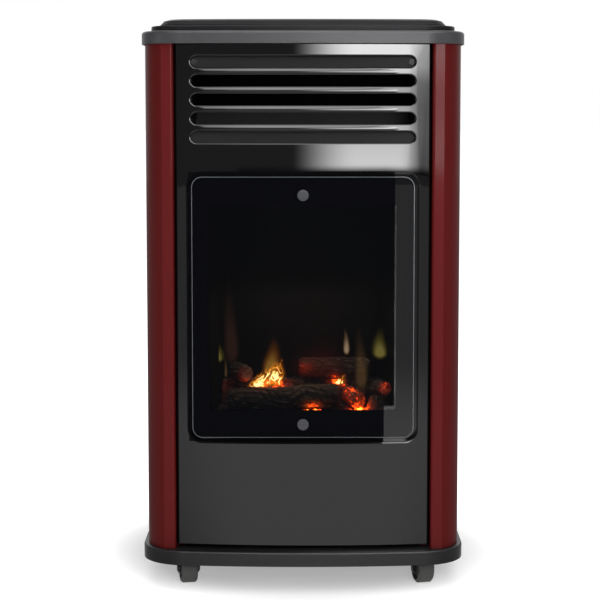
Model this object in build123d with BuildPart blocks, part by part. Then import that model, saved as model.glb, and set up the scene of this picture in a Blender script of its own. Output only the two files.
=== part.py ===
from build123d import *
import os
from math import cos, radians, sin, sqrt

os.makedirs("parts", exist_ok=True)

# Portable gas cabinet heater with a glazed living-flame fire.
# Lengths are in millimetres. +X is to the right seen from the front, +Y goes to
# the back and +Z is up. The origin is on the floor, under the middle of the base.

# ------------------------------------------------------------------ driving sizes
sheet = 1.2                     # folded steel of the cabinet
thin_sheet = 1.0                # folded steel of the fire
fit_gap = 0.3                   # between curved neighbours
running_gap = 0.05              # radial, around turning pins

# moulded base
base_overhang = 6.0             # base edge out from the side of the cabinet
base_depth = 475.0
base_bottom = 35.0
base_height = 19.0
base_wall = 3.0
base_skin = 4.0
base_bow = 1500.0
base_front_corner = 60.0
base_back_corner = 20.0
base_top_round = 2.5
rib_pitch = 60.0
rib_count = 4
rib_thickness = 2.0
rib_recess = 5.0
kerb_height = 4.0
kerb_thickness = 3.0
kerb_setback = 49.0
kerb_corner = 40.0

# casters
wheel_radius = 20.0
wheel_width = 22.0
wheel_bevel = 2.5
wheel_hub_radius = 8.0
wheel_rim_radius = 15.0
wheel_dish = 4.0
axle_radius = 3.0
axle_head_radius = 4.5
axle_head = 1.5
fork_trail = 16.0
fork_side_gap = 0.8
fork_cheek = 2.2
fork_boss_radius = 7.0
fork_crown_radius = 17.0
fork_crown = 3.0
plate_side = 46.0
plate_thickness = 2.0
plate_corner = 4.0
plate_hole_pitch = 34.0
race_radius = 14.0
race_height = 1.7
pivot_radius = 4.0
pivot_head_radius = 6.0
pivot_head = 2.0
caster_inset = 58.0             # pivot in from the side of the base
caster_setback = 70.0           # pivot in from the front and back of the base
caster_screw_radius = 2.0
caster_screw_head_radius = 3.8
caster_screw_head = 1.6
caster_screw_bite = 2.6
turn_front_left = 191.0         # degrees that each caster has swung round
turn_front_right = 194.0
turn_rear_left = 187.0
turn_rear_right = 176.0

# cabinet sides
cabinet_width = 424.0
cabinet_back_inset = 7.0        # its back face in from the back of the base
cabinet_height = 691.5
side_corner_share = 1.437       # its radius, of the width beside the front panel
side_corner_turn = 55.2
panel_side_gap = 0.9            # front panel to the folded end of the side
facet_depth = 24.5
facet_round = 3.5
back_corner = 10.0
back_flange = 22.0
panel_ledge_depth = 46.0
panel_ledge = 11.5
fold_round = 0.6

# bowed front panel
panel_width = 341.2
panel_bow = 1300.0
panel_front = 22.0
panel_edge_round = 4.0
panel_lift = 4.7
panel_top_gap = 5.5
louvre_count = 5
louvre_pitch = 24.9
louvre_drop = 38.1              # middle of the highest, below the top of the cabinet
louvre_length = 299.4
louvre_height = 17.8
louvre_lip = 1.4
louvre_lip_depth = 6.0
rim_round = 2.0
window_width = 306.6
window_bottom = 199.3
window_louvre_gap = 46.5        # up to the middle of the lowest louvre
window_corner = 18.0
view_width = 256.0
view_bottom = 240.5
view_top_inset = 42.8
view_corner = 6.0

# glass
glass_width = 298.0
glass_top_inset = 5.8
glass_thickness = 4.0
glass_corner = 14.0
glass_front = 36.0
glass_bottom = 203.5
glass_chamfer = 0.6
gasket_width = 9.0
gasket_thickness = 1.5
gasket_inset = 6.0
stud_head_radius = 7.5
stud_head = 2.0
stud_radius = 2.5
stud_edge = 0.5
stud_low = 221.5
stud_top_inset = 25.0
washer_thickness = 0.5
stud_nut_radius = 5.0
stud_nut = 3.0

# firebox
firebox_bottom = 210.0
firebox_rise = 71.5             # above the view opening
firebox_mouth = 268.0
firebox_back_width = 208.0
firebox_back = 132.0
firebox_flange = 16.0
firebox_ledge = 8.0
floor_slot_width = 190.0
floor_slot = 7.0
bed_front_height = 23.3
bed_back_height = 58.0
bed_gap = 1.5
mound_side = 104.0              # heap of coals under the right-hand log
mound_depth = 72.0
mound_half_width = 16.0
mound_half_depth = 17.0
mound_height = 20.0
mound_taper = 15.0
bark_sides = 12
bark_steps = 4
bark_ridge = 0.07               # of the log's radius
bark_lump = 0.05
bark_twist = 2.1                # radians from one section to the next
slot_depth = 98.0               # depth of the flame slot and of the burner
duct_width = 298.0
duct_depth = 134.0
duct_front = 38.0
duct_top_gap = 21.5
duct_flange = 156.0
duct_mouth_drop = 103.5         # below the top of the duct
duct_mouth_height = 74.0
duct_screw_side = 144.4
duct_screw_drop = 16.4
duct_screw_radius = 2.0
duct_screw_head_radius = 4.0
duct_screw_head = 1.2
baffle_top_gap = 9.0
baffle_height = 75.0
baffle_reach = 70.0
baffle_flange = 8.0

# burner and pilot
burner_radius = 12.0
burner_length = 210.0
burner_wall = 1.0
burner_port_count = 20
burner_port_pitch = 9.0
burner_port_length = 5.0
burner_port_width = 1.6
throat_radius = 7.0
throat_length = 30.0
mouth_radius = 13.0
air_hole_circle = 8.0
air_hole_radius = 2.0
burner_tab_width = 12.0
burner_tab_span = 120.0
injector_radius = 4.0
injector_hex = 14.0
injector_length = 18.0
pipe_radius = 4.0
pipe_bend = 14.0
pipe_inset = 22.0               # in from the side of the cabinet
nut_wall = 3.5
pipe_drop_depth = 165.0
pilot_side = 80.0
pilot_depth = 115.0
pilot_radius = 3.5
pilot_height = 30.0
pilot_spacing = 11.0
pilot_bracket = 9.0
pilot_pipe_radius = 2.0
pilot_pipe_bend = 9.0
probe_radius = 2.0
electrode_radius = 1.2
insulator_radius = 3.0

# cylinder compartment
divider_depth = 140.0
divider_gap = 0.1
divider_flange = 15.0
cylinder_pad_gap = 11.55        # to the rear cover
cylinder_pad_height = 3.0
floor_margin = 8.0

# rear cover
cover_inset = 8.0               # in from the side of the cabinet
cover_bottom = 60.0
cover_cap_gap = 3.0
cover_gap = 0.3
cover_hem = 3.0
vent_columns = 3
vent_rows = 4
vent_length = 70.0
vent_height = 8.0
vent_pitch_x = 95.0
vent_pitch_z = 20.0
vent_low = 130.0
vent_drop = 168.0
grip_width = 110.0
grip_height = 28.0
grip_drop = 60.0                # below the top of the cover
grip_rim = 2.0
grip_rim_depth = 6.0
cover_screw_inset = 16.0        # in from the side of the cabinet
cover_screw_low = 110.0
cover_screw_drop = 38.0
cover_screw_radius = 2.5
cover_screw_head_radius = 6.0
cover_screw_head = 4.0
cover_screw_length = 9.0

# top
cap_overhang = 4.0
cap_inset = 2.0
cap_lap = 14.5                  # down over the cabinet
cap_height = 17.0
cap_wall = 2.0
cap_round = 4.5
cap_front_corner = 58.0
cap_back_corner = 18.0
cap_opening_front = 21.5
cap_opening_corner = 40.0
deck_inset = 15.0
deck_back_corner = 14.0
deck_height = 7.0
deck_skin = 2.5
deck_round = 2.0
deck_undercut = 1.2
deck_undercut_inset = 3.0
top_inset = 27.0
top_corner = 16.0
top_height = 9.0
top_step = 1.6
top_shoulder = 7.0
top_shoulder_in = 5.0
top_flat_in = 12.0
top_skin = 3.0
flap_depth = 118.0
flap_gap = 1.5
flap_lift = 0.3
knuckle_radius = 4.3
knuckle_span = 290.0
knuckle_length = 20.0
knuckle_reach = 4.8
hinge_pin_radius = 2.0
hinge_lug = 6.0
scoop_radius = 16.0
scoop_depth = 5.0

# controls
well_inset = 50.0               # in from the side of the base
well_width = 120.0
well_setback = 75.0             # its middle, from the back of the base
well_size = 56.0
well_corner = 8.0
well_wall = 2.0
well_rim = 6.0
well_drop = 14.0                # its floor, below the top of the cap
knob_inset = 38.0               # in from the right end of the well
knob_radius = 19.0
knob_height = 14.0
knob_lift = 3.6
knob_wall = 2.5
knob_flutes = 12
knob_flute_radius = 3.0
knob_hub_radius = 7.0
knob_push = 3.0
spindle_radius = 4.0
spindle_collar_radius = 6.0
spindle_collar = 6.0
spindle_foot_rise = 26.0        # above the foot of the valve
plunger_height = 9.0
plunger_tip_radius = 2.5
valve_width = 40.0
valve_depth = 40.0
valve_drop = 44.0               # its foot, below the floor of the well
valve_boss_radius = 8.0
valve_boss_rise = 2.0
valve_edge_round = 3.0
valve_bore_rise = 13.0
valve_port_rise = 18.0
nut_length = 8.0
nozzle_radius = 4.2
nozzle_length = 26.0
nozzle_hex = 14.0
nozzle_hex_length = 9.0
igniter_inset = 32.0            # in from the left end of the well
igniter_radius = 9.0
igniter_cap = 7.0
igniter_lift = 7.5
igniter_travel = 6.0
igniter_stem_radius = 4.0
igniter_stem = 16.0
piezo_radius = 11.0
piezo_length = 44.0
piezo_collar_radius = 10.5
piezo_collar = 1.2
piezo_neck_radius = 8.0

# ------------------------------------------------------------ sizes worked out
front = -base_depth / 2
back = base_depth / 2
base_top = base_bottom + base_height
kerb_top = base_top + kerb_height
cabinet_side = cabinet_width / 2
cabinet_top = base_top + cabinet_height
sheet_inside = cabinet_side - sheet
cabinet_back_y = back - cabinet_back_inset
base_width = cabinet_width + 2 * base_overhang
cap_width = cabinet_width + 2 * cap_overhang
cover_width = cabinet_width - 2 * cover_inset
cover_screw_side = cabinet_side - cover_screw_inset
facet_end = panel_width / 2 + panel_side_gap
side_corner = (cabinet_side - facet_end) * side_corner_share
panel_bottom = base_top + panel_lift
panel_height = cabinet_top - panel_top_gap - panel_bottom
louvre_top = cabinet_top - louvre_drop
window_top = louvre_top - (louvre_count - 1) * louvre_pitch - window_louvre_gap
window_height = window_top - window_bottom
view_top = window_top - view_top_inset
view_height = view_top - view_bottom
glass_top = window_top - glass_top_inset
glass_height = glass_top - glass_bottom
stud_high = glass_top - stud_top_inset
firebox_top = view_top + firebox_rise
duct_top = cabinet_top - duct_top_gap
duct_mouth_bottom = duct_top - duct_mouth_drop
duct_screw_height = duct_top - duct_screw_drop
baffle_top = duct_top - baffle_top_gap
baffle_bottom = baffle_top - baffle_height
cap_bottom = cabinet_top - cap_lap
cover_top = cap_bottom - cover_cap_gap
cover_height = cover_top - cover_bottom
grip_level = cover_top - grip_drop
vent_high = cover_top - vent_drop
cover_screw_high = cover_top - cover_screw_drop
glass_back = glass_front + glass_thickness
land_front = glass_back + gasket_thickness
land_back = land_front + sheet
window_middle = window_bottom + window_height / 2
view_middle = view_bottom + view_height / 2
glass_middle = glass_bottom + glass_height / 2
cover_inside_y = cabinet_back_y + cover_gap
divider_y = front + divider_depth
divider_width = 2 * (sheet_inside - divider_gap)
cylinder_y = (divider_y + sheet + cover_inside_y) / 2
cylinder_pad_radius = cover_inside_y - cylinder_y - cylinder_pad_gap
pipe_side = cabinet_side - pipe_inset
cap_top = cap_bottom + cap_height
well_floor = cap_top - well_drop
valve_bottom = well_floor - valve_drop
valve_bore_bottom = valve_bottom + valve_bore_rise
valve_port_level = valve_bottom + valve_port_rise
spindle_foot = valve_bottom + spindle_foot_rise
deck_top = cap_top + deck_height
top_top = deck_top + top_height
caster_x = base_width / 2 - caster_inset
caster_y = base_depth / 2 - caster_setback
plate_top = base_top - base_skin
plate_bottom = plate_top - plate_thickness
well_right = base_width / 2 - well_inset
well_left = well_right - well_width
knob_side = well_right - knob_inset
igniter_side = well_left + igniter_inset
valve_y = back - well_setback
crown_top = plate_bottom - race_height - fit_gap
crown_bottom = crown_top - fork_crown
cheek_inside = wheel_width / 2 + fork_side_gap
cheek_outside = cheek_inside + fork_cheek


def bow_drop(x, radius):
    """How far a bowed front has fallen back at a distance x from the middle."""
    return radius - sqrt(radius**2 - x**2)


def facing_front(y):
    """Upright plane at y: its own X and Y are the model's X and Z."""
    return Plane((0, y, 0), x_dir=(1, 0, 0), z_dir=(0, -1, 0))


def bowed_outline(level, half_width, front_y, back_y, front_corner, back_corner):
    """Plan of a tray or lid: straight sides, a bowed front and rounded corners."""
    with BuildSketch(Plane.XY.offset(level)) as plan:
        with Locations((0, (front_y + back_y) / 2)):
            Rectangle(2 * half_width, back_y - front_y)
        with Locations((0, front_y + base_bow)):
            Circle(base_bow, mode=Mode.INTERSECT)
        fillet(plan.vertices().group_by(Axis.Y)[0], front_corner)
        fillet(plan.vertices().group_by(Axis.Y)[-1], back_corner)
    return plan.sketch


def save(piece, label):
    """Label a finished piece and write it."""
    piece.part.label = label
    export_step(piece.part, f"parts/{label}.step")


# ------------------------------------------------------------------ moulded base
def base_plan(level, inset):
    """Outline of the base, moved in by inset all round."""
    return bowed_outline(
        level,
        base_width / 2 - inset,
        front + inset,
        back - inset,
        base_front_corner - inset,
        base_back_corner - inset,
    )


def kerb_plan(level, inset):
    """Outline of the kerb that the cabinet sheets stand around."""
    return bowed_outline(
        level,
        sheet_inside - fit_gap - inset,
        front + kerb_setback + inset,
        cabinet_back_y - sheet - fit_gap - inset,
        kerb_corner - inset,
        back_corner - inset,
    )


caster_places = [
    ("front_left", -caster_x, -caster_y, turn_front_left),
    ("front_right", caster_x, -caster_y, turn_front_right),
    ("rear_left", -caster_x, caster_y, turn_rear_left),
    ("rear_right", caster_x, caster_y, turn_rear_right),
]

with BuildPart() as base_tray:
    extrude(base_plan(base_bottom, 0), amount=base_height)
    fillet(base_tray.edges().group_by(Axis.Z)[-1], base_top_round)
    extrude(
        base_plan(base_bottom, base_wall),
        amount=base_height - base_skin,
        mode=Mode.SUBTRACT,
    )
    with BuildSketch(Plane.XY.offset(base_bottom + rib_recess)):
        with GridLocations(rib_pitch, 1, rib_count, 1):
            Rectangle(rib_thickness, base_depth)
        with GridLocations(1, rib_pitch, 1, rib_count):
            Rectangle(base_width, rib_thickness)
        add(base_plan(0, base_wall / 2), mode=Mode.INTERSECT)
    extrude(amount=base_height - base_skin - rib_recess)
    extrude(kerb_plan(base_top, 0), amount=kerb_height)
    extrude(kerb_plan(base_top, kerb_thickness), amount=kerb_height, mode=Mode.SUBTRACT)
    with BuildSketch(Plane.XY.offset(plate_top)):
        with GridLocations(2 * caster_x, 2 * caster_y, 2, 2):
            with GridLocations(plate_hole_pitch, plate_hole_pitch, 2, 2):
                Circle(caster_screw_radius + running_gap)
    extrude(amount=caster_screw_bite + fit_gap, mode=Mode.SUBTRACT)
save(base_tray, "base_tray")

with BuildPart() as cylinder_floor:
    with BuildSketch(Plane.XY.offset(base_top)):
        floor_front = divider_y + sheet + divider_flange + fit_gap
        floor_back = cabinet_back_y - sheet - fit_gap - kerb_thickness - fit_gap
        with Locations((0, (floor_front + floor_back) / 2)):
            Rectangle(2 * (sheet_inside - kerb_thickness - floor_margin), floor_back - floor_front)
    extrude(amount=sheet)
    with BuildSketch(Plane.XY.offset(base_top)):
        with Locations((0, cylinder_y)):
            Circle(cylinder_pad_radius)
    extrude(amount=sheet + cylinder_pad_height)
    with BuildSketch(Plane.XY.offset(base_top)):
        with Locations((0, cylinder_y)):
            Circle(cylinder_pad_radius - sheet)
    extrude(amount=cylinder_pad_height, mode=Mode.SUBTRACT)
save(cylinder_floor, "cylinder_floor")


# ----------------------------------------------------------------------- casters
for corner, x, y, turn in caster_places:
    # the wheel trails the pivot along the local Y of this plane
    pivot = Plane((x, y, 0), x_dir=(cos(radians(turn)), sin(radians(turn)), 0), z_dir=(0, 0, 1))
    axle_centre = pivot.from_local_coords((0, fork_trail, wheel_radius))
    along_axle = Plane(axle_centre, x_dir=pivot.x_dir, z_dir=-pivot.y_dir)
    across_axle = Plane(axle_centre, x_dir=pivot.y_dir, z_dir=pivot.x_dir)
    cheek_plane = Plane(pivot.origin, x_dir=pivot.y_dir, z_dir=pivot.x_dir)

    with BuildPart() as plate:
        with BuildSketch(Plane((x, y, plate_bottom))):
            RectangleRounded(plate_side, plate_side, plate_corner)
            with GridLocations(plate_hole_pitch, plate_hole_pitch, 2, 2):
                Circle(caster_screw_radius + running_gap, mode=Mode.SUBTRACT)
        extrude(amount=plate_thickness)
        with BuildSketch(Plane((x, y, plate_bottom - race_height))):
            Circle(race_radius)
        extrude(amount=race_height)
        with BuildSketch(Plane((x, y, crown_bottom - fit_gap))):
            Circle(pivot_radius)
        extrude(amount=plate_bottom - crown_bottom + fit_gap)
        with BuildSketch(Plane((x, y, crown_bottom - fit_gap - pivot_head))):
            Circle(pivot_head_radius)
        extrude(amount=pivot_head)
    save(plate, f"caster_{corner}_plate")

    with BuildPart() as fork:
        with BuildSketch(pivot.offset(crown_bottom)):
            Circle(fork_crown_radius)
        extrude(amount=fork_crown)
        for side in (-cheek_outside, cheek_inside):
            with BuildSketch(cheek_plane.offset(side)):
                with BuildLine():
                    Polyline(
                        (-race_radius + fork_crown, crown_top),
                        (race_radius, crown_top),
                        (fork_trail + fork_boss_radius, wheel_radius),
                        (fork_trail - fork_boss_radius, wheel_radius),
                        close=True,
                    )
                make_face()
                with Locations((fork_trail, wheel_radius)):
                    Circle(fork_boss_radius)
                    Circle(axle_radius + running_gap / 2, mode=Mode.SUBTRACT)
            extrude(amount=fork_cheek)
        with BuildSketch(pivot.offset(crown_bottom)):
            Circle(pivot_radius + running_gap)
        extrude(amount=fork_crown, mode=Mode.SUBTRACT)
    save(fork, f"caster_{corner}_fork")

    with BuildPart() as axle:
        with BuildSketch(across_axle):
            Circle(axle_radius)
        extrude(amount=cheek_outside, both=True)
        for end in (-cheek_outside - axle_head, cheek_outside):
            with BuildSketch(across_axle.offset(end)):
                Circle(axle_head_radius)
            extrude(amount=axle_head)
    save(axle, f"caster_{corner}_axle")

    with BuildPart() as wheel:
        with BuildSketch(along_axle) as profile:
            bore = axle_radius + running_gap
            with Locations((0, (wheel_radius + bore) / 2)):
                Rectangle(wheel_width, wheel_radius - bore)
            chamfer(profile.vertices().group_by(Axis.Z)[-1], wheel_bevel)
            dish_middle = (wheel_hub_radius + wheel_rim_radius) / 2
            for face_x in (-wheel_width / 2, wheel_width / 2):
                with Locations((face_x, dish_middle)):
                    Rectangle(2 * wheel_dish, wheel_rim_radius - wheel_hub_radius, mode=Mode.SUBTRACT)
        revolve(axis=Axis(axle_centre, pivot.x_dir))
    save(wheel, f"caster_{corner}_wheel")

with BuildPart() as caster_screws:
    for reach, radius in (
        (caster_screw_head, caster_screw_head_radius),
        (caster_screw_head + plate_thickness + caster_screw_bite, caster_screw_radius),
    ):
        with BuildSketch(Plane.XY.offset(plate_bottom - caster_screw_head)):
            with GridLocations(2 * caster_x, 2 * caster_y, 2, 2):
                with GridLocations(plate_hole_pitch, plate_hole_pitch, 2, 2):
                    Circle(radius)
        extrude(amount=reach)
save(caster_screws, "caster_screws")


# ----------------------------------------------------------------- cabinet sides
ledge_y = front + panel_ledge_depth
corner_centre = (
    cabinet_side - side_corner,
    front + facet_depth + side_corner * sin(radians(side_corner_turn)),
)

with BuildPart() as side_panel_right:
    with BuildSketch(Plane.XY.offset(base_top)):
        with BuildLine():
            FilletPolyline(
                (cabinet_side - back_flange, cabinet_back_y),
                (cabinet_side, cabinet_back_y),
                (cabinet_side, corner_centre[1]),
                radius=back_corner,
            )
            rounded = CenterArc(corner_centre, side_corner, 0, -side_corner_turn)
            FilletPolyline(
                rounded @ 1,
                (facet_end, front + facet_depth),
                (facet_end, ledge_y),
                (facet_end - panel_ledge, ledge_y),
                radius=[facet_round, fold_round],
            )
            offset(amount=sheet, side=Side.RIGHT)
        make_face()
    extrude(amount=cabinet_height)
    with BuildSketch(facing_front(cabinet_back_y)):
        for level in (cover_screw_low, cover_screw_high):
            with Locations((cover_screw_side, level)):
                Circle(cover_screw_radius + running_gap)
    extrude(amount=sheet, both=True, mode=Mode.SUBTRACT)
save(side_panel_right, "side_panel_right")

with BuildPart() as side_panel_left:
    mirror(side_panel_right.part, about=Plane.YZ)
save(side_panel_left, "side_panel_left")


# ------------------------------------------------------------ bowed front panel
def panel_plan(level, inset):
    """Plan of the front panel's outer (inset 0) or inner (inset sheet) face."""
    with BuildSketch(Plane.XY.offset(level)) as plan:
        with Locations((0, (front + panel_front + ledge_y) / 2)):
            Rectangle(panel_width - 2 * inset, ledge_y - front - panel_front)
        with Locations((0, front + panel_front + panel_bow)):
            Circle(panel_bow - inset, mode=Mode.INTERSECT)
        fillet(plan.vertices().group_by(Axis.Y)[0], panel_edge_round - inset)
    return plan.sketch


def on_panel_face(edge):
    """True for an edge of a louvre or of the window, on the bowed face itself."""
    middle = edge.position_at(0.5)
    inside = abs(middle.X) < window_width / 2 + sheet
    between = panel_bottom + panel_lift < middle.Z < panel_bottom + panel_height - panel_lift
    face_y = front + panel_front + bow_drop(min(abs(middle.X), panel_width / 2), panel_bow)
    return inside and between and abs(middle.Y - face_y) < rim_round / 2


louvre_levels = [louvre_top - i * louvre_pitch for i in range(louvre_count)]
louvre_reach = panel_front + bow_drop(louvre_length / 2, panel_bow) + louvre_lip_depth

# the space inside the folded panel, around the louvre lips and the window recess
with BuildPart() as panel_hollow:
    extrude(panel_plan(panel_bottom + sheet, sheet), amount=panel_height)
    with BuildSketch(facing_front(front + land_back)):
        with Locations((0, window_middle)):
            RectangleRounded(
                window_width + 2 * sheet,
                window_height + 2 * sheet,
                window_corner + sheet,
            )
    extrude(amount=land_back, mode=Mode.SUBTRACT)

with BuildPart() as louvre_lips:
    with BuildSketch(facing_front(front + louvre_reach)):
        for level in louvre_levels:
            with Locations((0, level)):
                SlotOverall(louvre_length, louvre_height)
    extrude(amount=louvre_reach)
    with BuildSketch(Plane.XY):
        with Locations((0, front + panel_front + panel_bow)):
            Circle(panel_bow - sheet / 2)
            Circle(panel_bow - louvre_lip_depth, mode=Mode.SUBTRACT)
        with Locations((0, front + louvre_reach / 2)):
            Rectangle(louvre_length, louvre_reach, mode=Mode.INTERSECT)
    extrude(amount=cap_top, mode=Mode.INTERSECT)

with BuildPart() as front_panel:
    extrude(panel_plan(panel_bottom, 0), amount=panel_height)
    add(panel_hollow.part, mode=Mode.SUBTRACT)
    add(louvre_lips.part)
    with BuildSketch(facing_front(front + land_front)):
        with Locations((0, window_middle)):
            RectangleRounded(window_width, window_height, window_corner)
    extrude(amount=land_front, mode=Mode.SUBTRACT)
    with BuildSketch(facing_front(ledge_y)):
        for level in louvre_levels:
            with Locations((0, level)):
                SlotOverall(louvre_length - 2 * louvre_lip, louvre_height - 2 * louvre_lip)
        with Locations((0, view_middle)):
            RectangleRounded(view_width, view_height, view_corner)
        with Locations((0, stud_low), (0, stud_high)):
            Circle(stud_radius + running_gap)
    extrude(amount=ledge_y - front, mode=Mode.SUBTRACT)
    front_rims = front_panel.edges().filter_by(on_panel_face)
    fillet(front_rims, rim_round)
save(front_panel, "front_panel")


# ------------------------------------------------------------------------- glass
with BuildPart() as window_glass:
    with BuildSketch(facing_front(front + glass_back)):
        with Locations((0, glass_middle)):
            RectangleRounded(glass_width, glass_height, glass_corner)
        with Locations((0, stud_low), (0, stud_high)):
            Circle(stud_radius + stud_edge, mode=Mode.SUBTRACT)
    extrude(amount=glass_thickness)
    chamfer(window_glass.faces().sort_by(Axis.Y)[0].outer_wire().edges(), glass_chamfer)
save(window_glass, "window_glass")

with BuildPart() as glass_gasket:
    with BuildSketch(facing_front(front + land_front)):
        with Locations((0, glass_middle)):
            RectangleRounded(
                glass_width - 2 * gasket_inset,
                glass_height - 2 * gasket_inset,
                glass_corner - gasket_inset,
            )
            RectangleRounded(
                glass_width - 2 * gasket_inset - 2 * gasket_width,
                glass_height - 2 * gasket_inset - 2 * gasket_width,
                view_corner,
                mode=Mode.SUBTRACT,
            )
        with Locations((0, stud_low), (0, stud_high)):
            Circle(stud_radius + stud_edge, mode=Mode.SUBTRACT)
    extrude(amount=gasket_thickness)
save(glass_gasket, "glass_gasket")

with BuildPart() as glass_studs:
    head_back = glass_front - washer_thickness
    for outer, inner, radius in (
        (head_back - stud_head, head_back, stud_head_radius),
        (head_back, land_back + stud_nut, stud_radius),
        (land_back, land_back + stud_nut, stud_nut_radius),
    ):
        with BuildSketch(facing_front(front + inner)):
            with Locations((0, stud_low), (0, stud_high)):
                Circle(radius)
        extrude(amount=inner - outer)
    head_faces = glass_studs.faces().group_by(Axis.Y)[0]
    chamfer(head_faces.edges(), stud_edge)
save(glass_studs, "glass_studs")

with BuildPart() as stud_washers:
    with BuildSketch(facing_front(front + glass_front)):
        with Locations((0, stud_low), (0, stud_high)):
            Circle(stud_head_radius - stud_edge)
            Circle(stud_radius + running_gap, mode=Mode.SUBTRACT)
    extrude(amount=washer_thickness)
save(stud_washers, "stud_washers")


# ----------------------------------------------------------------------- firebox
def firebox_plan(level, inset):
    """Plan of the firebox: an open mouth in front, sides splayed in to the back."""
    mouth = firebox_mouth / 2 - inset
    rear = firebox_back_width / 2 - inset
    with BuildSketch(Plane.XY.offset(level)) as plan:
        with BuildLine():
            Polyline(
                (-mouth, front + land_back),
                (mouth, front + land_back),
                (rear, front + firebox_back - inset),
                (-rear, front + firebox_back - inset),
                close=True,
            )
        make_face()
    return plan.sketch


def firebox_half_width(depth):
    """Inner half width of the firebox at a depth from the front of the base."""
    share = (depth - land_back) / (firebox_back - land_back)
    taper = (firebox_mouth - firebox_back_width) / 2
    return firebox_mouth / 2 - share * taper - thin_sheet


firebox_height = firebox_top - firebox_bottom
firebox_outside = firebox_mouth / 2 + firebox_flange

with BuildPart() as firebox_shell:
    extrude(firebox_plan(firebox_bottom, 0), amount=firebox_height)
    extrude(firebox_plan(firebox_bottom, thin_sheet), amount=firebox_height, mode=Mode.SUBTRACT)
    # mouth flange, closed above the window
    with BuildSketch(facing_front(front + land_back + thin_sheet)):
        with Locations((0, (firebox_bottom + firebox_top) / 2)):
            Rectangle(2 * firebox_outside, firebox_height)
        with Locations((0, (firebox_bottom + view_bottom + view_height) / 2)):
            Rectangle(
                firebox_mouth - 2 * thin_sheet,
                view_bottom + view_height - firebox_bottom,
                mode=Mode.SUBTRACT,
            )
        with Locations((0, stud_high)):
            Circle(stud_nut_radius + stud_edge, mode=Mode.SUBTRACT)
    extrude(amount=thin_sheet)
    # flange on top that the duct stands on
    with BuildSketch(Plane.XY.offset(firebox_top - thin_sheet)):
        with Locations((0, front + (land_back + duct_depth) / 2)):
            Rectangle(2 * firebox_outside, duct_depth - land_back)
        add(firebox_plan(0, thin_sheet), mode=Mode.SUBTRACT)
    extrude(amount=thin_sheet)
    # ledge that the floor rests on
    extrude(firebox_plan(firebox_bottom, 0), amount=thin_sheet)
    with BuildSketch(Plane.XY.offset(firebox_bottom)):
        with Locations((0, front + slot_depth - firebox_ledge)):
            Rectangle(
                2 * firebox_half_width(firebox_back) - 2 * firebox_ledge,
                2 * (firebox_back - slot_depth),
            )
    extrude(amount=thin_sheet, mode=Mode.SUBTRACT)
save(firebox_shell, "firebox_shell")

floor_level = firebox_bottom + thin_sheet
floor_top = floor_level + thin_sheet
slot_y = front + slot_depth

with BuildPart() as firebox_floor:
    extrude(firebox_plan(floor_level, thin_sheet + fit_gap), amount=thin_sheet)
    with BuildSketch(Plane.XY.offset(floor_level)):
        with Locations((0, slot_y)):
            SlotOverall(floor_slot_width, floor_slot)
        with Locations((pilot_side, front + pilot_depth)):
            Rectangle(3 * pilot_spacing, 2 * pilot_radius + 2 * fit_gap)
    extrude(amount=thin_sheet, mode=Mode.SUBTRACT)
save(firebox_floor, "firebox_floor")

with BuildPart() as ember_bed:
    with BuildSketch(Plane.YZ):
        with BuildLine():
            Polyline(
                (front + land_back + 2 * bed_gap, floor_top),
                (front + firebox_back - thin_sheet - bed_gap, floor_top),
                (front + firebox_back - thin_sheet - bed_gap, floor_top + bed_back_height),
                (slot_y + floor_slot, floor_top + bed_back_height),
                (slot_y + floor_slot / 2 + bed_gap, floor_top + bed_front_height),
                (front + land_back + 3 * bed_gap, floor_top + bed_front_height),
                close=True,
            )
        make_face()
    extrude(amount=firebox_mouth / 2, both=True)
    extrude(
        firebox_plan(floor_top, thin_sheet + bed_gap),
        amount=bed_back_height,
        mode=Mode.INTERSECT,
    )
    with BuildSketch(Plane.XY.offset(floor_top)):
        with Locations((0, slot_y)):
            SlotOverall(floor_slot_width, floor_slot)
        with Locations((pilot_side, (slot_y + front + pilot_depth) / 2 + pilot_radius)):
            Rectangle(3 * pilot_spacing, front + pilot_depth - slot_y + 2 * pilot_radius)
    extrude(amount=bed_back_height, mode=Mode.SUBTRACT)
    with BuildSketch(Plane.XY.offset(floor_top + bed_front_height)):
        with Locations((mound_side, front + mound_depth)):
            Ellipse(mound_half_width, mound_half_depth)
    extrude(amount=mound_height, taper=mound_taper)
save(ember_bed, "ember_bed")


# -------------------------------------------------------------------------- logs
def bark_outline(centre, along, radius, turn):
    """Lumpy many-sided outline square to a log's length, from two sine waves."""
    angles = [radians(360 * i / bark_sides) for i in range(bark_sides)]
    waves = [bark_ridge * sin(3 * a + turn) + bark_lump * cos(5 * a - turn) for a in angles]
    rings = [radius * (1 + wave) for wave in waves]
    with BuildSketch(Plane(centre, z_dir=along)) as section:
        with BuildLine():
            Polyline(*[(r * cos(a), r * sin(a)) for a, r in zip(angles, rings)], close=True)
        make_face()
    return section.sketch


def make_log(label, start, end, start_radius, end_radius, sag):
    """A charred ceramic log, lofted along its length with a slight bend."""
    first = Vector(start[0], front + start[1], start[2])
    last = Vector(end[0], front + end[1], end[2])
    along = last - first
    with BuildPart() as log:
        for step in range(bark_steps + 1):
            share = step / bark_steps
            centre = first + along * share + Vector(0, sag * sin(radians(180 * share)), 0)
            radius = start_radius + (end_radius - start_radius) * share
            add(bark_outline(centre, along, radius, bark_twist * step))
        loft(ruled=True)
    save(log, label)


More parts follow.
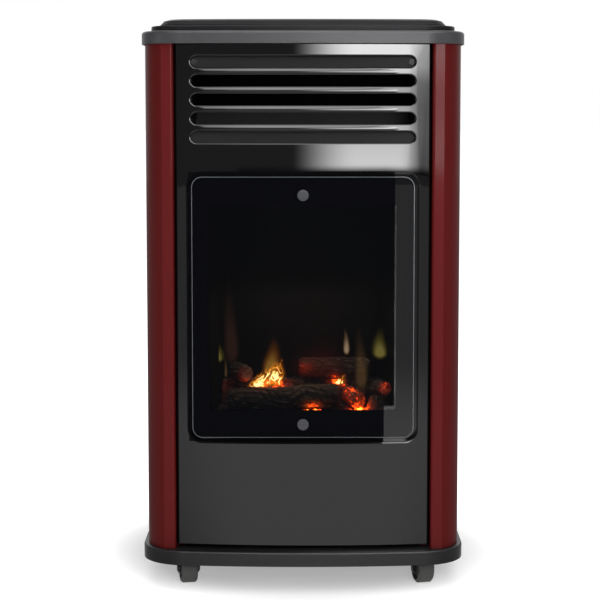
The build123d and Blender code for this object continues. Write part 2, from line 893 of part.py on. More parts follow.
# start and end of each log: from the middle, from the front of the base, above the
# floor; then its two radii and its sag
logs = (
    ("log_front", (-102, 66, 250.8), (50, 71, 254.8), 14.0, 18.0, -2),
    ("log_back", (-6, 112.5, 286.9), (93, 111.5, 286.8), 15.5, 15.0, 1),
    ("log_left", (-76, 84, 283), (-96, 118, 283), 11.5, 13.0, 1),
    ("log_right", (78, 64, 246.8), (60, 93, 257), 12.2, 11.5, 1),
    ("log_far_right", (113, 61, 266), (101, 86, 266), 10.5, 10.0, 0),
)
for log_shape in logs:
    make_log(*log_shape)


# ---------------------------------------------------------------- warm air duct
duct_half = duct_width / 2
duct_height = duct_top - firebox_top
louvre_back = duct_front + thin_sheet

with BuildPart() as hot_air_duct:
    with BuildSketch(Plane.XY.offset(firebox_top)):
        with Locations((0, front + (louvre_back + duct_depth) / 2)):
            Rectangle(duct_width, duct_depth - louvre_back)
            Rectangle(
                duct_width - 2 * thin_sheet,
                duct_depth - louvre_back - 2 * thin_sheet,
                mode=Mode.SUBTRACT,
            )
    extrude(amount=duct_height)
    with BuildSketch(Plane.XY.offset(duct_top - thin_sheet)):
        with Locations((0, front + (louvre_back + duct_depth) / 2)):
            Rectangle(duct_width, duct_depth - louvre_back)
    extrude(amount=thin_sheet)
    # face plate behind the louvres, open behind the middle three
    with BuildSketch(facing_front(front + louvre_back + thin_sheet)):
        with Locations((0, (firebox_top + duct_top) / 2)):
            Rectangle(2 * duct_flange, duct_height)
    extrude(amount=2 * thin_sheet)
    with BuildSketch(facing_front(front + louvre_back + thin_sheet)):
        with Locations((0, duct_mouth_bottom + duct_mouth_height / 2)):
            Rectangle(duct_width - 2 * thin_sheet, duct_mouth_height)
        with Locations((-duct_screw_side, duct_screw_height), (duct_screw_side, duct_screw_height)):
            Circle(duct_screw_radius + running_gap)
    extrude(amount=2 * thin_sheet, mode=Mode.SUBTRACT)
save(hot_air_duct, "hot_air_duct")

with BuildPart() as duct_screws:
    head_back = duct_front
    shank_back = louvre_back + thin_sheet + duct_screw_head
    for outer, inner, radius in (
        (head_back - duct_screw_head, head_back, duct_screw_head_radius),
        (head_back, shank_back, duct_screw_radius),
    ):
        with BuildSketch(facing_front(front + inner)):
            with Locations((-duct_screw_side, duct_screw_height), (duct_screw_side, duct_screw_height)):
                Circle(radius)
        extrude(amount=inner - outer)
save(duct_screws, "duct_screws")

with BuildPart() as flue_baffle:
    with BuildSketch(Plane.YZ):
        with BuildLine():
            Polyline(
                (front + duct_depth - thin_sheet, baffle_bottom),
                (front + baffle_reach, baffle_top),
            )
            offset(amount=thin_sheet, side=Side.LEFT)
        make_face()
    extrude(amount=duct_half - thin_sheet, both=True)
    with BuildSketch(Plane.YZ):
        with BuildLine():
            Polyline(
                (front + duct_depth - thin_sheet, baffle_bottom),
                (front + baffle_reach, baffle_top),
                (front + baffle_reach, baffle_top - baffle_flange),
                (front + duct_depth - thin_sheet, baffle_bottom - baffle_flange),
                close=True,
            )
        make_face()
    extrude(amount=duct_half - thin_sheet, both=True)
    with BuildSketch(Plane.YZ):
        with BuildLine():
            Polyline(
                (front + duct_depth, baffle_bottom - thin_sheet),
                (front + baffle_reach - thin_sheet, baffle_top - thin_sheet),
                (front + baffle_reach - thin_sheet, baffle_bottom - duct_height),
                (front + duct_depth, baffle_bottom - duct_height),
                close=True,
            )
        make_face()
    extrude(amount=duct_half - 2 * thin_sheet, both=True, mode=Mode.SUBTRACT)
save(flue_baffle, "flue_baffle")


# -------------------------------------------------------------- burner and pilot
burner_level = firebox_bottom - burner_radius - thin_sheet
burner_end = burner_length / 2
mouth_x = burner_end + throat_length
upright_at_slot = Plane((0, slot_y, burner_level), x_dir=(1, 0, 0), z_dir=(0, -1, 0))
burner_axis = Axis((0, slot_y, burner_level), (1, 0, 0))

with BuildPart() as burner:
    with BuildSketch(upright_at_slot):
        with BuildLine():
            Polyline(
                (-burner_end, 0),
                (-burner_end, burner_radius),
                (burner_end - burner_radius, burner_radius),
                (burner_end, throat_radius),
                (mouth_x - throat_radius, throat_radius),
                (mouth_x - 2 * burner_wall, mouth_radius),
                (mouth_x, mouth_radius),
                (mouth_x, 0),
                close=True,
            )
        make_face()
        with BuildLine():
            Polyline(
                (-burner_end + burner_wall, 0),
                (-burner_end + burner_wall, burner_radius - burner_wall),
                (burner_end - burner_radius, burner_radius - burner_wall),
                (burner_end, throat_radius - burner_wall),
                (mouth_x - throat_radius, throat_radius - burner_wall),
                (mouth_x - 2 * burner_wall, mouth_radius - 2 * burner_wall),
                (mouth_x - burner_wall, mouth_radius - 2 * burner_wall),
                (mouth_x - burner_wall, 0),
                close=True,
            )
        make_face(mode=Mode.SUBTRACT)
    revolve(axis=burner_axis)
    # primary air holes round the injector in the end disc
    with BuildSketch(Plane((mouth_x, slot_y, burner_level), x_dir=(0, 1, 0), z_dir=(1, 0, 0))):
        Circle(injector_radius + running_gap)
        with PolarLocations(air_hole_circle, 4, start_angle=45):
            Circle(air_hole_radius)
    extrude(amount=burner_wall, both=True, mode=Mode.SUBTRACT)
    # tabs up to the underside of the firebox
    with BuildSketch(Plane.XY.offset(burner_level)):
        with GridLocations(burner_tab_span, 1, 2, 1):
            with Locations((0, slot_y + burner_radius - burner_wall / 2)):
                Rectangle(burner_tab_width, burner_wall)
    extrude(amount=floor_level - burner_level)
    with BuildSketch(Plane.XY.offset(floor_level - burner_wall)):
        with GridLocations(burner_tab_span, 1, 2, 1):
            with Locations((0, slot_y + burner_radius + burner_tab_width / 2 - burner_wall)):
                Rectangle(burner_tab_width, burner_tab_width)
    extrude(amount=burner_wall)
    with BuildSketch(Plane.XY.offset(burner_level + throat_radius)):
        with Locations((0, slot_y)):
            with GridLocations(burner_port_pitch, 1, burner_port_count, 1):
                Rectangle(burner_port_width, burner_port_length)
    extrude(amount=burner_radius, mode=Mode.SUBTRACT)
save(burner, "burner")

with BuildPart() as injector:
    end_plane = Plane((mouth_x - throat_radius / 2, slot_y, burner_level), x_dir=(0, 1, 0), z_dir=(1, 0, 0))
    with BuildSketch(end_plane):
        Circle(injector_radius)
    extrude(amount=throat_radius)
    with BuildSketch(end_plane.offset(throat_radius / 2)):
        RegularPolygon(injector_hex / 2, 6, major_radius=False)
    extrude(amount=injector_length)
save(injector, "injector")


def pipe_run(label, points, radius, bend, ends):
    """A bent pipe along points, with a hexagonal nut on each listed end."""
    with BuildPart() as pipe:
        with BuildLine() as route:
            FilletPolyline(*points, radius=bend)
        with BuildSketch(Plane(route.line @ 0, z_dir=route.line % 0)):
            Circle(radius)
        sweep()
        for place, way in ends:
            with BuildSketch(Plane(place, z_dir=way)):
                RegularPolygon(radius + nut_wall, 6, major_radius=False)
            extrude(amount=nut_length)
    save(pipe, label)


injector_end_x = mouth_x + injector_length
valve_right_x = knob_side + valve_width / 2
valve_front_y = valve_y - valve_depth / 2
drop_y = front + pipe_drop_depth

pipe_run(
    "burner_pipe",
    [
        (injector_end_x, slot_y, burner_level),
        (pipe_side, slot_y, burner_level),
        (pipe_side, drop_y, burner_level),
        (pipe_side, drop_y, valve_port_level),
        (pipe_side, valve_y, valve_port_level),
        (valve_right_x, valve_y, valve_port_level),
    ],
    pipe_radius,
    pipe_bend,
    [
        ((valve_right_x, valve_y, valve_port_level), (1, 0, 0)),
        ((injector_end_x, slot_y, burner_level), (1, 0, 0)),
    ],
)

pilot_y = front + pilot_depth
pilot_foot = floor_top - pilot_height
pilot_run_y = drop_y + pilot_pipe_bend
pilot_run_x = pipe_side - 2 * pipe_radius - nut_wall

pipe_run(
    "pilot_pipe",
    [
        (pilot_side, pilot_y, pilot_foot),
        (pilot_side, pilot_y, pilot_foot - 2 * nut_length),
        (pilot_run_x, pilot_y, pilot_foot - 2 * nut_length),
        (pilot_run_x, pilot_run_y, pilot_foot - 2 * nut_length),
        (pilot_run_x, pilot_run_y, valve_port_level),
        (knob_side, pilot_run_y, valve_port_level),
        (knob_side, valve_front_y, valve_port_level),
    ],
    pilot_pipe_radius,
    pilot_pipe_bend,
    [
        ((knob_side, valve_front_y, valve_port_level), (0, -1, 0)),
        ((pilot_side, pilot_y, pilot_foot), (0, 0, -1)),
    ],
)

with BuildPart() as pilot_burner:
    with BuildSketch(Plane.XY.offset(pilot_foot)):
        with Locations((pilot_side, pilot_y)):
            Circle(pilot_radius)
    extrude(amount=pilot_height + 2 * pilot_radius)
    # hood slot that throws the flame along the burner
    with BuildSketch(facing_front(pilot_y)):
        with Locations((pilot_side, floor_top + pilot_radius)):
            Rectangle(pilot_radius, pilot_radius)
    extrude(amount=2 * pilot_radius, mode=Mode.SUBTRACT)
    # bracket that also holds the electrode and the thermocouple
    with BuildSketch(Plane.XY.offset(pilot_foot + pilot_height / 2)):
        with Locations((pilot_side, pilot_y)):
            RectangleRounded(4 * pilot_spacing, pilot_bracket, pilot_radius)
            with Locations((-pilot_spacing, 0)):
                Circle(insulator_radius + running_gap, mode=Mode.SUBTRACT)
            with Locations((pilot_spacing, 0)):
                Circle(probe_radius + running_gap, mode=Mode.SUBTRACT)
    extrude(amount=thin_sheet)
    tab_bottom = pilot_foot + pilot_height / 2
    with BuildSketch(Plane.XY.offset(tab_bottom)):
        with Locations((pilot_side, pilot_y + pilot_bracket / 2 - thin_sheet / 2)):
            Rectangle(pilot_spacing, thin_sheet)
    extrude(amount=floor_level - tab_bottom)
save(pilot_burner, "pilot_burner")

with BuildPart() as spark_electrode:
    for low, high, radius in (
        (pilot_foot, floor_level, insulator_radius),
        (pilot_foot - nut_length, floor_top + 3 * pilot_radius, electrode_radius),
    ):
        with BuildSketch(Plane.XY.offset(low)):
            with Locations((pilot_side - pilot_spacing, pilot_y)):
                Circle(radius)
        extrude(amount=high - low)
save(spark_electrode, "spark_electrode")

with BuildPart() as thermocouple:
    with BuildSketch(Plane.XY.offset(pilot_foot)):
        with Locations((pilot_side + pilot_spacing, pilot_y)):
            Circle(probe_radius)
    extrude(amount=floor_top + 3 * pilot_radius - pilot_foot)
    fillet(thermocouple.edges().group_by(Axis.Z)[-1], probe_radius - running_gap)
save(thermocouple, "thermocouple")


# ---------------------------------------------------- divider and its pipe holes
divider_bottom = kerb_top + fit_gap

with BuildPart() as divider_plate:
    with BuildSketch(Plane.XY.offset(divider_bottom)):
        with Locations((0, divider_y + sheet / 2)):
            Rectangle(divider_width, sheet)
        with GridLocations(divider_width - sheet, 1, 2, 1):
            with Locations((0, divider_y + divider_flange / 2)):
                Rectangle(sheet, divider_flange)
    extrude(amount=cabinet_top - divider_bottom)
    with BuildSketch(facing_front(divider_y + sheet)):
        with Locations((pipe_side, burner_level)):
            Circle(pipe_radius + fit_gap)
        with Locations((pilot_run_x, pilot_foot - 2 * nut_length)):
            Circle(pilot_pipe_radius + fit_gap)
    extrude(amount=sheet, mode=Mode.SUBTRACT)
save(divider_plate, "divider_plate")


# ---------------------------------------------------------------------- controls
well_middle_x = (well_left + well_right) / 2
knob_bottom = well_floor + knob_lift
knob_top = knob_bottom + knob_height
valve_boss_top = well_floor + valve_boss_rise
collar_top = spindle_foot + spindle_collar
igniter_bottom = well_floor + igniter_lift


def well_plan(level, outset):
    """Rounded rectangle round the control well, outset from its inner wall."""
    with BuildSketch(Plane.XY.offset(level)) as plan:
        with Locations((well_middle_x, valve_y)):
            RectangleRounded(
                well_width + 2 * outset,
                well_size + 2 * outset,
                well_corner + outset,
            )
    return plan.sketch


with BuildPart() as control_fascia:
    fascia_bottom = well_floor - well_wall
    extrude(well_plan(fascia_bottom, well_wall), amount=cap_top - fascia_bottom)
    extrude(well_plan(cap_top, well_wall + well_rim), amount=well_wall / 2)
    extrude(well_plan(well_floor, 0), amount=cap_top, mode=Mode.SUBTRACT)
    with BuildSketch(Plane.XY.offset(fascia_bottom)):
        with Locations((knob_side, valve_y)):
            Circle(valve_boss_radius + running_gap)
        with Locations((igniter_side, valve_y)):
            Circle(piezo_neck_radius + running_gap)
    extrude(amount=well_wall, mode=Mode.SUBTRACT)
save(control_fascia, "control_fascia")

with BuildPart() as gas_valve:
    with BuildSketch(Plane.XY.offset(valve_bottom)):
        with Locations((knob_side, valve_y)):
            RectangleRounded(valve_width, valve_depth, valve_edge_round)
    extrude(amount=fascia_bottom - valve_bottom)
    with BuildSketch(Plane.XY.offset(fascia_bottom)):
        with Locations((knob_side, valve_y)):
            Circle(valve_boss_radius)
    extrude(amount=valve_boss_top - fascia_bottom)
    for low, high, radius in (
        (valve_bore_bottom, collar_top + running_gap, spindle_collar_radius + running_gap),
        (collar_top, valve_boss_top, spindle_radius + running_gap),
    ):
        with BuildSketch(Plane.XY.offset(low)):
            with Locations((knob_side, valve_y)):
                Circle(radius)
        extrude(amount=high - low, mode=Mode.SUBTRACT)
save(gas_valve, "gas_valve")

with BuildPart() as valve_plunger:
    plunger_bottom = spindle_foot - plunger_height
    for low, high, radius in (
        (plunger_bottom, spindle_foot - plunger_height / 2, plunger_tip_radius),
        (spindle_foot - plunger_height / 2, spindle_foot - running_gap, spindle_collar_radius),
    ):
        with BuildSketch(Plane.XY.offset(low)):
            with Locations((knob_side, valve_y)):
                Circle(radius)
        extrude(amount=high - low)
save(valve_plunger, "valve_plunger")

with BuildPart() as valve_spindle:
    spindle_top = knob_top - knob_wall - fit_gap
    for low, high, radius in (
        (spindle_foot, collar_top, spindle_collar_radius),
        (collar_top, spindle_top, spindle_radius),
    ):
        with BuildSketch(Plane.XY.offset(low)):
            with Locations((knob_side, valve_y)):
                Circle(radius)
        extrude(amount=high - low)
save(valve_spindle, "valve_spindle")

with BuildPart() as control_knob:
    with BuildSketch(Plane.XY.offset(knob_bottom)):
        with Locations((knob_side, valve_y)):
            Circle(knob_radius)
            with PolarLocations(knob_radius + knob_flute_radius / 2, knob_flutes):
                Circle(knob_flute_radius, mode=Mode.SUBTRACT)
    extrude(amount=knob_height)
    chamfer(control_knob.edges().group_by(Axis.Z)[-1], knob_wall / 2)
    with BuildSketch(Plane.XY.offset(knob_bottom)):
        with Locations((knob_side, valve_y)):
            Circle(knob_radius - knob_flute_radius - knob_wall / 2)
    extrude(amount=knob_height - knob_wall, mode=Mode.SUBTRACT)
    with BuildSketch(Plane.XY.offset(valve_boss_top + knob_push + fit_gap)):
        with Locations((knob_side, valve_y)):
            Circle(knob_hub_radius)
    extrude(amount=knob_top - valve_boss_top - knob_push - knob_wall)
    # index groove on the top
    with BuildSketch(Plane.XY.offset(knob_top)):
        with Locations((knob_side, valve_y - knob_radius / 2)):
            SlotOverall(knob_radius / 2, knob_wall / 2, rotation=90)
    extrude(amount=-knob_wall / 3, mode=Mode.SUBTRACT)
    with BuildSketch(Plane.XY.offset(knob_bottom)):
        with Locations((knob_side, valve_y)):
            Circle(spindle_radius + running_gap / 2)
    extrude(amount=knob_height - knob_wall, mode=Mode.SUBTRACT)
save(control_knob, "control_knob")

with BuildPart() as hose_nozzle:
    with BuildSketch(Plane.XY.offset(valve_bottom - nozzle_hex_length)):
        with Locations((knob_side, valve_y)):
            RegularPolygon(nozzle_hex / 2, 6, major_radius=False)
    extrude(amount=nozzle_hex_length)
    with BuildSketch(Plane.XY.offset(valve_bottom - nozzle_hex_length - nozzle_length)):
        with Locations((knob_side, valve_y)):
            Circle(nozzle_radius)
    extrude(amount=nozzle_length)
    chamfer(hose_nozzle.edges().group_by(Axis.Z)[0], nozzle_radius / 5)
save(hose_nozzle, "hose_nozzle")

with BuildPart() as piezo_igniter:
    for low, high, radius in (
        (fascia_bottom - piezo_length, fascia_bottom, piezo_radius),
        (fascia_bottom, well_floor, piezo_neck_radius),
        (well_floor, well_floor + piezo_collar, piezo_collar_radius),
    ):
        with BuildSketch(Plane.XY.offset(low)):
            with Locations((igniter_side, valve_y)):
                Circle(radius)
        extrude(amount=high - low)
    stem_foot = igniter_bottom - igniter_stem
    with BuildSketch(Plane.XY.offset(stem_foot - igniter_travel - fit_gap)):
        with Locations((igniter_side, valve_y)):
            Circle(igniter_stem_radius + running_gap)
    extrude(amount=igniter_stem + igniter_travel, mode=Mode.SUBTRACT)
save(piezo_igniter, "piezo_igniter")

with BuildPart() as igniter_button:
    for low, high, radius in (
        (stem_foot, igniter_bottom, igniter_stem_radius),
        (igniter_bottom, igniter_bottom + igniter_cap, igniter_radius),
    ):
        with BuildSketch(Plane.XY.offset(low)):
            with Locations((igniter_side, valve_y)):
                Circle(radius)
        extrude(amount=high - low)
    fillet(igniter_button.edges().group_by(Axis.Z)[-1], knob_wall)
save(igniter_button, "igniter_button")


# --------------------------------------------------------------------------- top
def cap_plan(level, inset):
    """Outline of the cap band, moved in by inset all round."""
    return bowed_outline(
        level,
        cap_width / 2 - inset,
        front + cap_inset + inset,
        back - cap_inset - inset,
        cap_front_corner - inset,
        cap_back_corner - inset,
    )


with BuildPart() as top_cap:
    extrude(cap_plan(cap_bottom, 0), amount=cap_height)
    fillet(top_cap.edges().group_by(Axis.Z)[-1], cap_round)
    extrude(
        cap_plan(cap_bottom + cap_wall, cap_wall),
        amount=cabinet_top - cap_bottom - cap_wall,
        mode=Mode.SUBTRACT,
    )
    # lower return, open over the cabinet
    with BuildSketch(Plane.XY.offset(cap_bottom)) as opening:
        opening_front = front + cap_opening_front
        opening_back = cover_inside_y + sheet + fit_gap
        with Locations((0, (opening_front + opening_back) / 2)):
            Rectangle(cabinet_width + 4 * fit_gap, opening_back - opening_front)
        fillet(opening.vertices().group_by(Axis.Y)[0], cap_opening_corner)
    extrude(amount=cap_wall, mode=Mode.SUBTRACT)
    extrude(well_plan(cap_bottom, well_wall + fit_gap), amount=cap_height, mode=Mode.SUBTRACT)
save(top_cap, "top_cap")

flap_back_y = back - top_inset
flap_front_y = flap_back_y - flap_depth
hinge_y = flap_back_y + knuckle_reach
hinge_level = deck_top + flap_lift + knuckle_radius


def deck_plan(level, inset):
    """Outline of the deck above the cap, moved in by inset all round."""
    return bowed_outline(
        level,
        base_width / 2 - deck_inset - inset,
        front + deck_inset + inset,
        back - deck_inset - inset,
        base_front_corner - deck_inset - inset,
        deck_back_corner - inset,
    )


lug_offset = (knuckle_length + hinge_lug) / 2 + fit_gap

with BuildPart() as top_deck:
    extrude(deck_plan(cap_top, deck_undercut_inset), amount=deck_undercut)
    extrude(deck_plan(cap_top + deck_undercut, 0), amount=deck_height - deck_undercut)
    fillet(top_deck.edges().group_by(Axis.Z)[-1], deck_round)
    extrude(
        deck_plan(cap_top, deck_undercut_inset + deck_skin),
        amount=deck_height - deck_skin,
        mode=Mode.SUBTRACT,
    )
    extrude(well_plan(cap_top, 0), amount=deck_height, mode=Mode.SUBTRACT)
    # hinge lugs behind the flap
    for knuckle_x in (-knuckle_span / 2, knuckle_span / 2):
        for lug_x in (knuckle_x - lug_offset, knuckle_x + lug_offset):
            with BuildSketch(Plane.YZ.offset(lug_x - hinge_lug / 2)):
                with Locations((hinge_y, hinge_level)):
                    Circle(knuckle_radius)
                with Locations((hinge_y, (deck_top + hinge_level) / 2)):
                    Rectangle(2 * knuckle_radius, hinge_level - deck_top)
                with Locations((hinge_y, hinge_level)):
                    Circle(hinge_pin_radius + running_gap / 2, mode=Mode.SUBTRACT)
            extrude(amount=hinge_lug)
save(top_deck, "top_deck")


def raised_plan(level, inset):
    """Outline of the raised top, moved in by inset all round."""
    return bowed_outline(
        level,
        base_width / 2 - top_inset - inset,
        front + top_inset + inset,
        back - top_inset - inset,
        base_front_corner - top_inset - inset / 2,
        top_corner - inset / 2,
    )


# the whole raised top, with a straight foot, a sloped shoulder and a flat crown
with BuildPart() as raised_top:
    extrude(raised_plan(deck_top, 0), amount=top_step)
    raised_sections = (
        (deck_top + top_step, 0),
        (deck_top + top_shoulder, top_shoulder_in),
        (top_top, top_flat_in),
    )
    for (low, low_in), (high, high_in) in zip(raised_sections, raised_sections[1:]):
        loft([raised_plan(low, low_in), raised_plan(high, high_in)], ruled=True)
    extrude(
        raised_plan(deck_top, top_flat_in - top_skin),
        amount=top_height - top_skin,
        mode=Mode.SUBTRACT,
    )

with BuildPart() as top_panel:
    add(raised_top.part)
    with BuildSketch(Plane.XY.offset(deck_top)):
        with Locations((0, flap_front_y + base_depth / 2)):
            Rectangle(base_width, base_depth)
    extrude(amount=top_height, mode=Mode.SUBTRACT)
    # closing wall along the flap, with a scoop for a fingertip
    with BuildSketch(Plane.XY.offset(deck_top)):
        with Locations((0, flap_front_y - 2 * top_skin)):
            Rectangle(base_width - 2 * top_inset - 2 * top_flat_in, 4 * top_skin)
    extrude(amount=top_height)
    with BuildSketch(Plane.XY.offset(top_top)):
        with Locations((0, flap_front_y)):
            Ellipse(2 * scoop_radius, 3 * top_skin)
    extrude(amount=-scoop_depth, mode=Mode.SUBTRACT)
save(top_panel, "top_panel")

with BuildPart() as control_flap:
    add(raised_top.part)
    with BuildSketch(Plane.XY.offset(deck_top)):
        with Locations((0, flap_front_y + flap_gap - base_depth / 2)):
            Rectangle(base_width, base_depth)
    extrude(amount=top_height, mode=Mode.SUBTRACT)
    with BuildSketch(Plane.XY.offset(deck_top)):
        with Locations((0, flap_front_y + flap_gap + top_skin / 2)):
            Rectangle(base_width - 2 * top_inset - 2 * top_flat_in, top_skin)
    extrude(amount=top_height)
    # knuckles reach back between the lugs
    for knuckle_x in (-knuckle_span / 2, knuckle_span / 2):
        with BuildSketch(Plane.YZ.offset(knuckle_x - knuckle_length / 2)):
            with Locations((hinge_y, hinge_level)):
                Circle(knuckle_radius)
            with BuildLine():
                Polyline(
                    (flap_back_y - top_flat_in, hinge_level - knuckle_radius),
                    (hinge_y, hinge_level - knuckle_radius),
                    (hinge_y, hinge_level),
                    (flap_back_y - top_flat_in, top_top - top_skin),
                    close=True,
                )
            make_face()
            with Locations((hinge_y, hinge_level)):
                Circle(hinge_pin_radius + running_gap, mode=Mode.SUBTRACT)
        extrude(amount=knuckle_length)
    with BuildSketch(Plane.XY.offset(deck_top)):
        Rectangle(base_width, base_depth)
    extrude(amount=flap_lift, mode=Mode.SUBTRACT)
save(control_flap, "control_flap")

with BuildPart() as flap_hinge_pins:
    for knuckle_x in (-knuckle_span / 2, knuckle_span / 2):
        with BuildSketch(Plane.YZ.offset(knuckle_x)):
            with Locations((hinge_y, hinge_level)):
                Circle(hinge_pin_radius)
        extrude(amount=lug_offset + hinge_lug / 2, both=True)
save(flap_hinge_pins, "flap_hinge_pins")


# -------------------------------------------------------------------- rear cover
cover_middle = cover_bottom + cover_height / 2
cover_outside_y = cover_inside_y + sheet

with BuildPart() as rear_cover:
    with BuildSketch(facing_front(cover_outside_y)):
        with Locations((0, cover_middle)):
            RectangleRounded(cover_width, cover_height, back_corner)
    extrude(amount=sheet)
    # hem on the inside of the plate, clear of the side flanges
    with BuildSketch(facing_front(cover_inside_y)):
        hem_width = cabinet_width - 2 * back_flange - 2 * fit_gap
        with Locations((0, cover_middle)):
            Rectangle(hem_width, cover_height - 2 * back_corner)
            Rectangle(
                hem_width - 2 * sheet,
                cover_height - 2 * back_corner - 2 * sheet,
                mode=Mode.SUBTRACT,
            )
    extrude(amount=cover_hem)
    with BuildSketch(facing_front(cover_outside_y)):
        with Locations((0, grip_level)):
            SlotOverall(grip_width + 2 * grip_rim, grip_height + 2 * grip_rim)
    extrude(amount=grip_rim_depth)
    with BuildSketch(facing_front(cover_outside_y)):
        with Locations((0, grip_level)):
            SlotOverall(grip_width, grip_height)
        for level in (vent_low, vent_high):
            with Locations((0, level + vent_pitch_z * (vent_rows - 1) / 2)):
                with GridLocations(vent_pitch_x, vent_pitch_z, vent_columns, vent_rows):
                    SlotOverall(vent_length, vent_height)
        for level in (cover_screw_low, cover_screw_high):
            with Locations((-cover_screw_side, level), (cover_screw_side, level)):
                Circle(cover_screw_radius + running_gap)
    extrude(amount=grip_rim_depth, mode=Mode.SUBTRACT)
save(rear_cover, "rear_cover")

with BuildPart() as cover_screws:
    for outer, inner, radius in (
        (cover_outside_y + cover_screw_head, cover_outside_y, cover_screw_head_radius),
        (cover_outside_y, cover_outside_y - cover_screw_length, cover_screw_radius),
    ):
        with BuildSketch(facing_front(outer)):
            for level in (cover_screw_low, cover_screw_high):
                with Locations((-cover_screw_side, level), (cover_screw_side, level)):
                    Circle(radius)
        extrude(amount=outer - inner)
save(cover_screws, "cover_screws")
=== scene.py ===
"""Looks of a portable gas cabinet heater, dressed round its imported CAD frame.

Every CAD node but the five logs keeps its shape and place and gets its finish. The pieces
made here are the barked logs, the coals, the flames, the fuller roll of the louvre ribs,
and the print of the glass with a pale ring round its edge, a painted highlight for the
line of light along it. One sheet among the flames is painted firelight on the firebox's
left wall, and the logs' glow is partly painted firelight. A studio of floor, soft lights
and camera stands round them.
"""

import logging
import math
from dataclasses import dataclass
from enum import Enum
from typing import Callable, Sequence

import bpy
import mathutils
import numpy as np
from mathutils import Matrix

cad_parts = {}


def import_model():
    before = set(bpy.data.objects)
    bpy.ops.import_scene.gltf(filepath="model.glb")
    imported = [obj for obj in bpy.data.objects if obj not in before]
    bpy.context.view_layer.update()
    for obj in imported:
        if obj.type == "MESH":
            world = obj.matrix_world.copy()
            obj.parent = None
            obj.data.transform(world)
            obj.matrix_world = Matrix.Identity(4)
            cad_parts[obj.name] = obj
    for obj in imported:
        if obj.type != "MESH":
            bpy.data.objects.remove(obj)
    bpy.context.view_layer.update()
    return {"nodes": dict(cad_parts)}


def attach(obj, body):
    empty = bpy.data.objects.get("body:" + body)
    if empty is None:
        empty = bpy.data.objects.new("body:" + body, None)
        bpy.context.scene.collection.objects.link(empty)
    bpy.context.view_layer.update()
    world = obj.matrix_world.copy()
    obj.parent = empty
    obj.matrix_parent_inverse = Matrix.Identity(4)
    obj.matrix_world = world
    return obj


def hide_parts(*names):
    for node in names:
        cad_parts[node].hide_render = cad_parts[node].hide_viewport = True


LOG = logging.getLogger("heater")
MM = 0.001
FRONT_Y = -237.5  # mm, the heater's frontmost point, from which the fire's depths are measured
FULL_TURN = 2 * math.pi
WHITE = "FFFFFF"

Vec = tuple[float, float, float]
Span = tuple[float, float, float, float]  # two ends of a range, and the result at each
Stops = Sequence[tuple[float, str]]  # places from 0 to 1 with their colours

# settings that many shader nodes share
SMOOTH = {"interpolation_type": "SMOOTHSTEP"}
TIMES = {"operation": "MULTIPLY"}
TIMES_PLUS = {"operation": "MULTIPLY_ADD"}
MINUS = {"operation": "SUBTRACT"}


# --------------------------------------------------------------------- shader helpers
def linear(code: str) -> tuple[float, float, float, float]:
    """Turn an sRGB hex colour into Blender's linear colour.

    Args:
        code: Six hex digits.

    Returns:
        Linear red, green and blue, and an alpha of one.
    """
    parts = [int(code[i : i + 2], 16) / 255 for i in (0, 2, 4)]
    red, green, blue = (c / 12.92 if c <= 0.04045 else ((c + 0.055) / 1.055) ** 2.4 for c in parts)
    return red, green, blue, 1.0


def add_node(
    tree: bpy.types.NodeTree, kind: str, settings: dict | None = None, **inputs: object
) -> bpy.types.Node:
    """Add one node with its settings, values and links.

    Args:
        tree: The node tree that gets the node.
        kind: Blender's type name for the node.
        settings: Values for the node's own properties.
        **inputs: A value, or an output socket to link from, for each input. An input is
            named with underscores for spaces, or in0, in1 and so on for its place.

    Returns:
        The new node.
    """
    node = tree.nodes.new(kind)
    for name, value in (settings or {}).items():
        setattr(node, name, value)
    for name, value in inputs.items():
        by_place = name.startswith("in") and name[2:].isdigit()
        socket = node.inputs[int(name[2:])] if by_place else node.inputs[name.replace("_", " ")]
        if isinstance(value, bpy.types.NodeSocket):
            tree.links.new(value, socket)
        else:
            socket.default_value = value
    return node


def span(values: Span) -> dict[str, float]:
    """Inputs of a Map Range node that turns one range of numbers into another.

    Args:
        values: The range's two ends, and the result at each of them.

    Returns:
        The inputs by name, for add_node.
    """
    return dict(zip(("From_Min", "From_Max", "To_Min", "To_Max"), values))


def set_ramp(node: bpy.types.Node, stops: Stops) -> None:
    """Give a colour ramp its stops.

    Args:
        node: The colour ramp node.
        stops: Places from 0 to 1 with sRGB hex colours, in rising order.
    """
    ramp = node.color_ramp
    while len(ramp.elements) > 1:
        ramp.elements.remove(ramp.elements[-1])
    ramp.elements[0].position = stops[0][0]
    ramp.elements[0].color = linear(stops[0][1])
    for place, code in stops[1:]:
        ramp.elements.new(place).color = linear(code)


def new_material(title: str) -> tuple[bpy.types.Material, bpy.types.NodeTree, bpy.types.Node]:
    """Start an empty node material.

    Args:
        title: The material's name.

    Returns:
        The material, its node tree and its output node.
    """
    material = bpy.data.materials.new(title)
    material.use_nodes = True
    tree = material.node_tree
    tree.nodes.clear()
    return material, tree, tree.nodes.new("ShaderNodeOutputMaterial")


def place_of(tree: bpy.types.NodeTree, stretch: Vec = (1.0, 1.0, 1.0)) -> bpy.types.NodeSocket:
    """Object coordinates for a pattern.

    Args:
        tree: The material's node tree.
        stretch: What each axis is multiplied by: below one draws a pattern out along it.

    Returns:
        The socket that gives them, in metres.
    """
    where = add_node(tree, "ShaderNodeTexCoord")
    moved = add_node(tree, "ShaderNodeMapping", Vector=where.outputs["Object"], Scale=stretch)
    return moved.outputs["Vector"]


